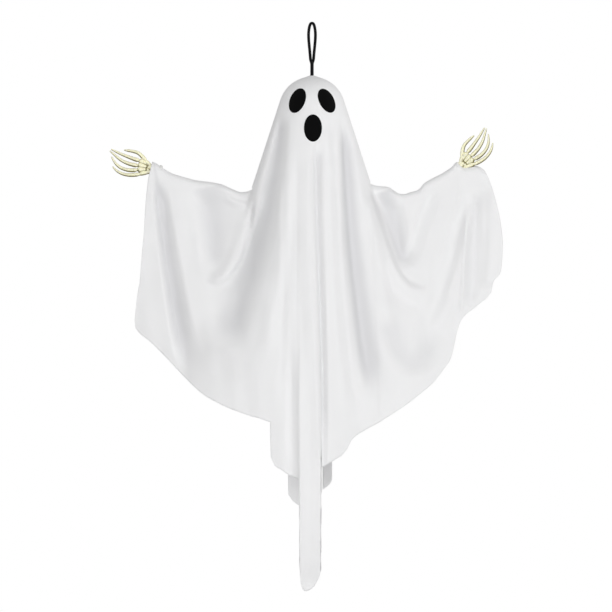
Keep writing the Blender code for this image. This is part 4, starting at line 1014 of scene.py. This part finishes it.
@dataclass
class HangingCord:
    """Black cord that rises from the crown, makes the eye over the hook and comes back down beside itself.

    Bends and shoulder shape the eye, as shares of its half width and of the neck's depth. Below the neck the
    two strands turn round each other, so that one comes to hang before the other.
    """

    finish: CordFinish = field(default_factory=CordFinish)
    diameter: float = 0.0036
    crown: float = -0.0655
    seat: float = 0.0003
    split: float = 0.0002
    eye: float = 0.0043
    neck: float = 0.0440
    bends: Line = ((0.58, 0.80), (0.78, 0.60), (0.95, 0.40), (0.97, 0.23), (0.77, 0.075))
    shoulder: Place = (0.42, 0.55)
    turn: float = math.radians(80.0)
    turn_over: Place = (-0.0395, -0.0490)
    points: int = 160
    sides: int = 20
    bend_start: float = -0.045

    def route(self) -> np.ndarray:
        """Centre line from the crown up one side and down the other."""
        side = (self.diameter + self.split) / 2
        foot = self.crown + self.seat
        top = self.diameter / 2
        rise = [(side, foot), (side, (foot - self.neck) / 2), (side, -self.neck)]
        rise += [(self.eye * out, -self.neck * down) for out, down in self.bends]
        rise.append((self.eye * self.shoulder[0], top * self.shoulder[1]))
        line = [(-x, z) for x, z in rise] + [(0.0, top)] + [(x, z) for x, z in reversed(rise)]
        out, height = rounded_line(tuple(line), self.points).T
        start, end = self.turn_over
        turned = self.turn * smooth((start - height) / (start - end))
        return np.column_stack([out * np.cos(turned), out * np.sin(turned), height])

    def build(self) -> bpy.types.Object:
        path = self.route()
        steps = np.linalg.norm(np.diff(path, axis=0), axis=1)
        run = np.concatenate([[0.0], steps.cumsum()])
        points = tube_points(path, self.diameter / 2, self.sides)
        turn = np.linspace(0, self.finish.strands, self.sides + 1)
        marks = np.dstack(np.broadcast_arrays(turn[None, :], (run / self.finish.pitch)[:, None]))
        work = bmesh.new()
        uv = work.loops.layers.uv.new("braid")
        lay_grid(work, uv, points, marks)
        bmesh.ops.remove_doubles(work, verts=work.verts, dist=FINE_MERGE)
        close_ends(work)
        piece = make_piece(work, "cord_loop", self.finish.material())
        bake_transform(piece)
        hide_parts("hanging_loop")
        return piece


@dataclass(frozen=True)
class PatchFinish:
    """Dull black felted cloth of the face patches."""

    name: str = "patch_cloth"
    colour: Triple = (0.0012, 0.0012, 0.0013)
    pale: float = 1.9
    fibres: Noise = Noise(2600.0, 4.0, 0.00008)
    unevenness: Noise = Noise(180.0, 2.0, 0.0002)

    def material(self) -> bpy.types.Material:
        """Short fibres over slow unevenness."""
        nodes = Surface(self.name)
        place = nodes.place("Object")
        fibres = nodes.noise(place, self.fibres)
        under = nodes.bump(nodes.noise(place, self.unevenness), "Fac", self.unevenness.depth)
        pale = tuple(self.pale * value for value in self.colour)
        return nodes.dress(
            (nodes.ramp(fibres, "Fac", self.colour, pale), "Color"),
            nodes.bump(fibres, "Fac", self.fibres.depth, under),
            Roughness=0.7, Sheen_Weight=0.01, Sheen_Roughness=0.35, Specular_IOR_Level=0.04,
        )


@dataclass(frozen=True)
class FacePatch:
    """One oval patch on the head's cloth, placed and measured in picture units.

    The profile gives its section as shares of the way out and of its height, and step is the distance over
    which the cloth's slope is measured.
    """

    node: str
    centre: Place
    long: float
    wide: float
    lean: float = 0.0
    height: float = 0.55
    step: float = 0.5
    sides: int = 96
    profile: Line = (
        (0.0, 1.0), (0.25, 1.0), (0.5, 1.0), (0.7, 1.0), (0.82, 1.0), (0.865, 0.93), (0.885, 0.84),
        (0.905, 0.93), (0.94, 0.98), (0.97, 0.84), (0.99, 0.5), (1.0, 0.0), (0.995, -0.6), (0.0, -0.6),
    )

    def build(self, material: bpy.types.Material) -> bpy.types.Object:
        """Build the patch as a thin cushion that follows the cloth, with a pressed line inside its rim."""
        share, height = np.array(self.profile).T
        turn = np.linspace(0, 2 * math.pi, self.sides + 1)[None, :]
        lean = math.radians(self.lean)
        out_x = self.wide * share[:, None] * np.sin(turn)
        out_y = self.long * share[:, None] * np.cos(turn)
        across = self.centre[0] + out_x * math.cos(lean) + out_y * math.sin(lean)
        down = self.centre[1] + out_x * math.sin(lean) - out_y * math.cos(lean)
        rise = self.height * height[:, None]
        points = np.dstack(self.over_cloth(across, down, rise))
        work = bmesh.new()
        uv = work.loops.layers.uv.new("patch")
        lay_grid(work, uv, points)
        bmesh.ops.remove_doubles(work, verts=work.verts, dist=MERGE)
        bmesh.ops.recalc_face_normals(work, faces=work.faces)
        piece = make_piece(work, f"{self.node}_cloth", material)
        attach(piece, "ghost")
        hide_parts(self.node)
        return piece

    def over_cloth(self, across: np.ndarray, down: np.ndarray, rise: np.ndarray) -> tuple[np.ndarray, ...]:
        """Places a rise out from the cloth's front, along its normal."""
        flat = -np.ones(across.shape)

        def depth(x: np.ndarray, y: np.ndarray) -> np.ndarray:
            """Depth of the front layer of the hood."""
            return FORM.depth(x, y, flat, Face.FRONT)

        step = self.step
        slope_x = (depth(across + step, down) - depth(across - step, down)) / (2 * step)
        slope_y = (depth(across, down + step) - depth(across, down - step)) / (2 * step)
        length = np.sqrt(1 + slope_x**2 + slope_y**2)
        x = across - rise * slope_x / length
        y = down - rise * slope_y / length
        z = depth(across, down) + rise / length
        return PICTURE.x(x), -z * PICTURE.unit, PICTURE.z(y)


PATCHES = (
    FacePatch("left_eye_patch", (297.5, 101.4), 13.0, 7.6, 22.0),
    FacePatch("right_eye_patch", (326.5, 101.5), 13.0, 7.4, -27.0),
    FacePatch("mouth_patch", (312.9, 128.9), 13.6, 9.0),
)


@dataclass(frozen=True)
class BoneFinish:
    """Cream plastic, darkened to olive by painted shade in its creases, on its under side and at its rim,
    with a slight mould texture.
    """

    name: str = "hand_plastic"
    colour: Triple = (0.96, 0.93, 0.67)
    # wash: olive colour of the painted shade in the creases, on the under side and at the rim
    wash: Triple = (0.17, 0.145, 0.040)
    grain: Noise = Noise(900.0, 3.0, 0.00006)

    def material(self) -> bpy.types.Material:
        """Darker where the wash attribute is high."""
        nodes = Surface(self.name)
        wash = nodes.add("Attribute", attribute_name="wash")
        grain = nodes.noise(nodes.place("Object"), self.grain)
        return nodes.dress(
            (nodes.ramp(wash, "Fac", self.colour, self.wash), "Color"),
            nodes.bump(grain, "Fac", self.grain.depth),
            Roughness=0.42, Subsurface_Weight=0.15, Subsurface_Scale=0.002, Subsurface_Radius=(1.0, 0.9, 0.4),
        )


Bone = tuple[Triple, ...]
FINGERS: dict[str, Bone] = {
    "thumb": (
        (0.080, 0.020, 0.90), (0.185, 0.060, 1.15), (0.225, 0.088, 0.80), (0.265, 0.110, 1.10),
        (0.330, 0.146, 1.02), (0.430, 0.180, 0.92), (0.550, 0.172, 0.80), (0.650, 0.152, 0.68),
        (0.720, 0.135, 0.40),
    ),
    "index": (
        (0.120, 0.025, 0.90), (0.220, 0.030, 0.95), (0.310, 0.033, 1.65), (0.352, 0.037, 0.72),
        (0.395, 0.035, 1.08), (0.475, 0.029, 1.02), (0.600, 0.028, 0.88), (0.760, 0.031, 0.72),
        (0.880, 0.040, 0.58), (0.985, 0.050, 0.36),
    ),
    "middle": (
        (0.120, -0.030, 0.90), (0.210, -0.040, 0.95), (0.300, -0.053, 1.65), (0.342, -0.068, 0.72),
        (0.385, -0.083, 1.08), (0.460, -0.096, 1.02), (0.545, -0.104, 0.95), (0.660, -0.098, 0.84),
        (0.760, -0.080, 0.74), (0.870, -0.042, 0.60), (1.000, 0.005, 0.36),
    ),
    "ring": (
        (0.120, -0.080, 0.90), (0.200, -0.108, 0.95), (0.280, -0.140, 1.65), (0.322, -0.163, 0.72),
        (0.365, -0.186, 1.05), (0.450, -0.222, 1.00), (0.550, -0.242, 0.92), (0.660, -0.243, 0.82),
        (0.760, -0.215, 0.72), (0.850, -0.162, 0.58), (0.925, -0.100, 0.36),
    ),
    "little": (
        (0.060, -0.100, 0.90), (0.130, -0.152, 1.05), (0.200, -0.198, 1.12), (0.245, -0.230, 0.80),
        (0.290, -0.258, 1.02), (0.370, -0.298, 0.98), (0.460, -0.332, 0.90), (0.570, -0.350, 0.80),
        (0.670, -0.345, 0.70), (0.750, -0.322, 0.56), (0.825, -0.285, 0.36),
    ),
}
CARPALS: tuple[tuple[float, float, float, float, float], ...] = (
    (0.050, -0.010, 0.100, 0.060, 0.080), (0.180, 0.048, 0.050, 0.046, 0.036),
    (0.190, -0.036, 0.048, 0.048, 0.038), (0.175, -0.096, 0.046, 0.046, 0.036),
    (0.095, -0.128, 0.062, 0.042, 0.036),
)


@dataclass
class SkeletonHand:
    """A one-piece moulded skeleton hand on its stub, drawn in its own frame and turned to its wrist.

    Fingers and carpals are given as shares of the hand's length along it and towards the thumb, then widths
    as shares of the bone's, or half sizes as shares of the length. The last fields say where painted shade
    lies: off the bones by a crease's depth as far as the palm goes, on the under side and at the rim.
    """

    side: Side
    length: float = 0.0580
    bone: float = 0.0049
    stub_length: float = 0.0100
    stub: float = 0.0041
    stub_end: float = 0.0030
    stub_reach: float = 0.06
    stub_points: int = 16
    curl: float = 0.13
    curl_start: float = 0.30
    curl_power: float = 1.6
    arch: float = 0.055
    arch_end: float = 0.62
    points: int = 90
    sides: int = 20
    caps: Triple = (5.0, 35.0, 65.0)
    voxel: float = 0.00036
    softness: float = 0.5
    softenings: int = 4
    crease: float = 0.0005
    palm: Place = (0.45, 0.1)
    under: Place = (1.3, 0.02)
    rim: Triple = (0.9, 0.6, 0.3)
    block: int = 15

    def depth(self, out: np.ndarray) -> np.ndarray:
        """How far a bone stands behind the wrist: arched over the palm, then curled away."""
        curled = self.curl * np.maximum(out - self.curl_start, 0) ** self.curl_power
        return curled - self.arch * np.sin(math.pi * np.minimum(out / self.arch_end, 1))

    def chain(self, bones: Bone) -> tuple[np.ndarray, np.ndarray]:
        """Centre line and radii of one finger, in the hand's own frame."""
        table = np.array(bones)
        knots = np.column_stack([table[:, 0], self.depth(table[:, 0]), table[:, 1]]) * self.length
        line = rounded_line(tuple(map(tuple, np.column_stack([knots, table[:, 2]]))), self.points)
        return line[:, :3], line[:, 3] * self.bone / 2

    def solid(self, work: bmesh.types.BMesh, path: np.ndarray, radii: np.ndarray) -> None:
        """Add a closed bone with round ends."""
        ahead, behind = path[-1] - path[-2], path[0] - path[1]
        ahead *= radii[-1] / np.linalg.norm(ahead)
        behind *= radii[0] / np.linalg.norm(behind)
        held = np.sin(np.radians(self.caps))
        sunk = np.cos(np.radians(self.caps))
        starts = path[0] + behind * sunk[:, None]
        ends = path[-1] + ahead * sunk[::-1, None]
        line = np.vstack([starts, path, ends])
        wide = np.concatenate([radii[0] * held, radii, radii[-1] * held[::-1]])
        uv = work.loops.layers.uv.verify()
        fresh = list(lay_grid(work, uv, tube_points(line, wide, self.sides)))
        bmesh.ops.remove_doubles(work, verts=fresh, dist=FINE_MERGE)

    def frame(self) -> Matrix:
        """The hand's place: along it, depth and towards the thumb, from its wrist joint."""
        name = f"{self.side.word}_wrist"
        joint = next(j for j in frame["record"]["behaviour"]["joints"] if j["name"] == name)
        along = Vector(joint["axis"])
        thumb = Vector((-along.z, 0, along.x)) * self.side.value
        turn = Matrix((along, Vector((0, 1, 0)), thumb)).transposed().to_4x4()
        return Matrix.Translation(joint["pos_m"]) @ turn

    def build(self, material: bpy.types.Material) -> bpy.types.Object:
        """Build the hand, fuse its bones and mark where painted shade darkens it."""
        work = bmesh.new()
        count = self.stub_points
        run = np.linspace(-self.stub_length, self.stub_reach * self.length, count)
        bones = [self.chain(finger) for finger in FINGERS.values()]
        stub = np.column_stack([run, np.zeros((count, 2))])
        bones.append((stub, np.linspace(self.stub_end, self.stub, count)))
        for path, radii in bones:
            self.solid(work, path, radii)
        for out, across, *half in CARPALS:
            size = Matrix.Diagonal((*(value * self.length for value in half), 1))
            centre = Vector((out, -self.arch / 3, across)) * self.length
            bones.append((np.array([centre]), np.array([min(half[0], half[2]) * self.length])))
            bmesh.ops.create_uvsphere(
                work, u_segments=40, v_segments=24, radius=1, matrix=Matrix.Translation(centre) @ size
            )
        close_ends(work)
        piece = make_piece(work, f"{self.side.word}_skeleton_hand", material)
        self.fuse(piece)
        self.mark(piece.data, *(np.concatenate(part) for part in zip(*bones, strict=True)))
        piece.data.transform(self.frame())
        if self.side is Side.WEST:
            piece.data.flip_normals()
        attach(piece, f"{self.side.word}_hand")
        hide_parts(f"{self.side.word}_hand")
        return piece

    def fuse(self, piece: bpy.types.Object) -> None:
        """Turn the overlapping bones into one skin, slightly softened, as from a mould."""
        skin = piece.modifiers.new("skin", "REMESH")
        skin.mode = "VOXEL"
        skin.voxel_size = self.voxel
        soften = piece.modifiers.new("soften", "SMOOTH")
        soften.factor = self.softness
        soften.iterations = self.softenings
        graph = bpy.context.evaluated_depsgraph_get()
        mesh = bpy.data.meshes.new_from_object(piece.evaluated_get(graph))
        material = piece.data.materials[0]
        piece.modifiers.clear()
        piece.data = mesh
        mesh.materials.clear()
        mesh.materials.append(material)
        mesh.shade_smooth()

    def mark(self, mesh: bpy.types.Mesh, axes: np.ndarray, radii: np.ndarray) -> None:
        """Fill the wash attribute: painted shade, high in the creases, on the side away from the thumb and at
        the rim.
        """
        places, normals = corners(mesh), np.empty(3 * len(mesh.vertices))
        mesh.vertex_normals.foreach_get("vector", normals)
        normals = normals.reshape(-1, 3)
        stand = np.full(len(places), np.inf)
        for start in range(0, len(axes), self.block):
            part = slice(start, start + self.block)
            away = np.linalg.norm(places[:, None] - axes[None, part], axis=2) - radii[part]
            stand = np.minimum(stand, away.min(axis=1))
        # painted shade in the creases between bones, as far as the palm goes
        end, fade = self.palm
        creases = smooth(stand / self.crease) * smooth((end - places[:, 0] / self.length) / fade)
        # painted shade on the side away from the thumb, the hand's under side
        steep, lift = self.under
        under = smooth(-normals[:, 2] * steep + lift)
        # painted shade at the rim, where the surface turns side-on to the front
        start, run, share = self.rim
        edge = smooth((start - np.abs(normals[:, 1])) / run) * share
        fill_attribute(mesh, "wash", np.clip(creases + under + edge, 0, 1))


class Grain(Enum):
    """What breaks up the surface of a plain part: the texture's type and output."""

    SPECKS = ("TexNoise", "Fac")
    CELLS = ("TexVoronoi", "Distance")


@dataclass(frozen=True)
class CoreFinish:
    """Finish of a part inside the cloth: two tones, its roughness, and its grain's scale and depth."""

    name: str
    light: Triple
    dark: Triple
    roughness: float
    scale: float
    depth: float
    grain: Grain = Grain.SPECKS
    stretch: Triple = (1.0, 1.0, 1.0)
    metal: float = 0.0
    uneven: float = 0.08

    def material(self) -> bpy.types.Material:
        """Grain drives the tone, the roughness and a slight bump."""
        nodes = Surface(self.name)
        kind, output = self.grain.value
        texture = nodes.add(kind, {"Scale": self.scale})
        nodes.join(nodes.place("Object", self.stretch), "Vector", texture, "Vector")
        ends = {"To Min": self.roughness - self.uneven, "To Max": self.roughness + self.uneven}
        spread = nodes.add("MapRange", ends)
        nodes.join(texture, output, spread, "Value")
        nodes.join(spread, "Result", nodes.shader, "Roughness")
        tone = nodes.ramp(texture, output, self.dark, self.light)
        return nodes.dress((tone, "Color"), nodes.bump(texture, output, self.depth), Metallic=self.metal)


CORE: dict[CoreFinish, tuple[str, ...]] = {
    CoreFinish("white_foam", (0.90, 0.90, 0.88), (0.78, 0.78, 0.76), 0.80, 420.0, 0.00030, Grain.CELLS):
        ("head_ball",),
    CoreFinish("white_moulding", (0.80, 0.80, 0.78), (0.72, 0.72, 0.70), 0.45, 900.0, 0.00003):
        ("spine_plug", "knot_washer"),
    CoreFinish("bright_wire", (0.62, 0.63, 0.65), (0.48, 0.49, 0.51), 0.34, 500.0, 0.00002, metal=1.0):
        ("spine_wire", "left_arm_wire", "right_arm_wire"),
    CoreFinish("white_sleeve", (0.86, 0.86, 0.84), (0.80, 0.80, 0.78), 0.38, 300.0, 0.00002):
        ("left_arm_sleeve", "right_arm_sleeve"),
    CoreFinish(
        "white_tape", (0.84, 0.84, 0.82), (0.70, 0.70, 0.68), 0.82, 1500.0, 0.00010, stretch=(0.3, 1.0, 1.0)
    ): ("chest_hub", "left_wrist_tie", "right_wrist_tie"),
    CoreFinish(
        "black_knot", (0.012, 0.012, 0.013), (0.003, 0.003, 0.003), 0.70, 1400.0, 0.00020,
        stretch=(1.0, 1.0, 0.4),
    ): ("loop_stem", "loop_knot"),
}


def dress_core() -> None:
    """Give every part that stays as built its own finish."""
    for finish, names in CORE.items():
        material = finish.material()
        for name in names:
            for place in frame["nodes"][name].material_slots:
                place.material = material
            log.info("%s: %s", name, finish.name)


@dataclass(frozen=True)
class Studio:
    """Camera at the picture's angle, soft lamps, a pale floor well below the ghost and a white background."""

    distance: float = 9.0
    sensor: float = 36.0
    picture_side: float = 612.0
    middle: float = 306.0
    floor_z: float = -1.35
    floor_side: float = 5.0
    floor_tone: float = 0.88
    ambient: float = 0.38
    lamps: tuple[tuple[str, Triple, float, float], ...] = (
        ("key", (-0.3, -2.7, -0.35), 1.2, 23.5),
        ("top", (0.0, -1.3, 1.7), 1.0, 7.0),
        ("fill", (1.9, -1.9, 0.0), 1.8, 15.0),
        ("west_rim", (-2.4, 0.9, 0.2), 1.6, 6.0),
        ("east_rim", (2.4, 0.9, 0.2), 1.6, 18.0),
    )

    def camera(self) -> None:
        """The camera looks straight on from far away, so that the picture's scale holds."""
        data = bpy.data.cameras.new("camera")
        data.sensor_width = self.sensor
        data.clip_end = 2 * self.distance
        data.lens = self.sensor * self.distance / (self.picture_side * PICTURE.unit)
        made = place_object("camera", data)
        made.location = (PICTURE.x(self.middle), -self.distance, PICTURE.z(self.middle))
        made.rotation_euler = (math.pi / 2, 0, 0)
        bpy.context.scene.camera = made

    def lamp(self, name: str, place: Triple, side: float, power: float) -> None:
        """A square area lamp that looks at the ghost's chest."""
        data = bpy.data.lights.new(name, "AREA")
        data.size = side
        data.energy = power
        made = place_object(name, data)
        made.location = place
        aim = Vector((0, 0, PICTURE.z(self.middle))) - Vector(place)
        made.rotation_euler = aim.to_track_quat("-Z", "Y").to_euler()

    def world(self) -> None:
        """Soft light from all round, and white for what the camera, a reflection or glass sees."""
        world = bpy.data.worlds.new("studio")
        bpy.context.scene.world = world
        world.use_nodes = True
        nodes = Tree(world.node_tree)
        path, mix = nodes.add("LightPath"), nodes.add("MixShader")
        rays = ("Is Camera Ray", "Is Glossy Ray", "Is Transmission Ray")
        nodes.join(*nodes.largest(*((path, ray) for ray in rays)), mix, 0)
        for entry, strength in enumerate((self.ambient, 1.0), 1):
            light = nodes.add("Background", {"Color": (1, 1, 1, 1), "Strength": strength})
            nodes.join(light, "Background", mix, entry)
        nodes.join(mix, "Shader", nodes.add("OutputWorld"), "Surface")

    def floor(self) -> None:
        """A plain pale floor."""
        work = bmesh.new()
        bmesh.ops.create_grid(work, x_segments=2, y_segments=2, size=self.floor_side / 2)
        bmesh.ops.translate(work, verts=work.verts, vec=(0, 0, self.floor_z))
        sockets = {"Roughness": 0.9, "Base Color": (*[self.floor_tone] * 3, 1)}
        make_piece(work, "floor", Surface("floor", sockets).material)

    def build(self) -> None:
        """Make the camera, lamps, world and floor."""
        bpy.context.scene.view_settings.view_transform = "Standard"
        self.camera()
        for lamp in self.lamps:
            self.lamp(*lamp)
        self.world()
        self.floor()


def main() -> None:
    """Build every sub-assembly in order and report each piece."""
    Studio().build()
    cord = HangingCord().build()
    west, east = Shroud().build()
    for piece, side, reach in ((west, Side.WEST, -0.2431), (east, Side.EAST, 0.2259)):
        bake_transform(piece)
    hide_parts("shroud_left_wing", "shroud_skirt")
    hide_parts("shroud_right_wing")
    black = PatchFinish().material()
    patches = [patch.build(black) for patch in PATCHES]
    plastic = BoneFinish().material()
    hands = [SkeletonHand(side).build(plastic) for side in Side]
    for piece in (cord, west, east, *patches, *hands):
        log.info("%s: %d faces", piece.name, len(piece.data.polygons))
    dress_core()


if __name__ == "__main__":
    main()
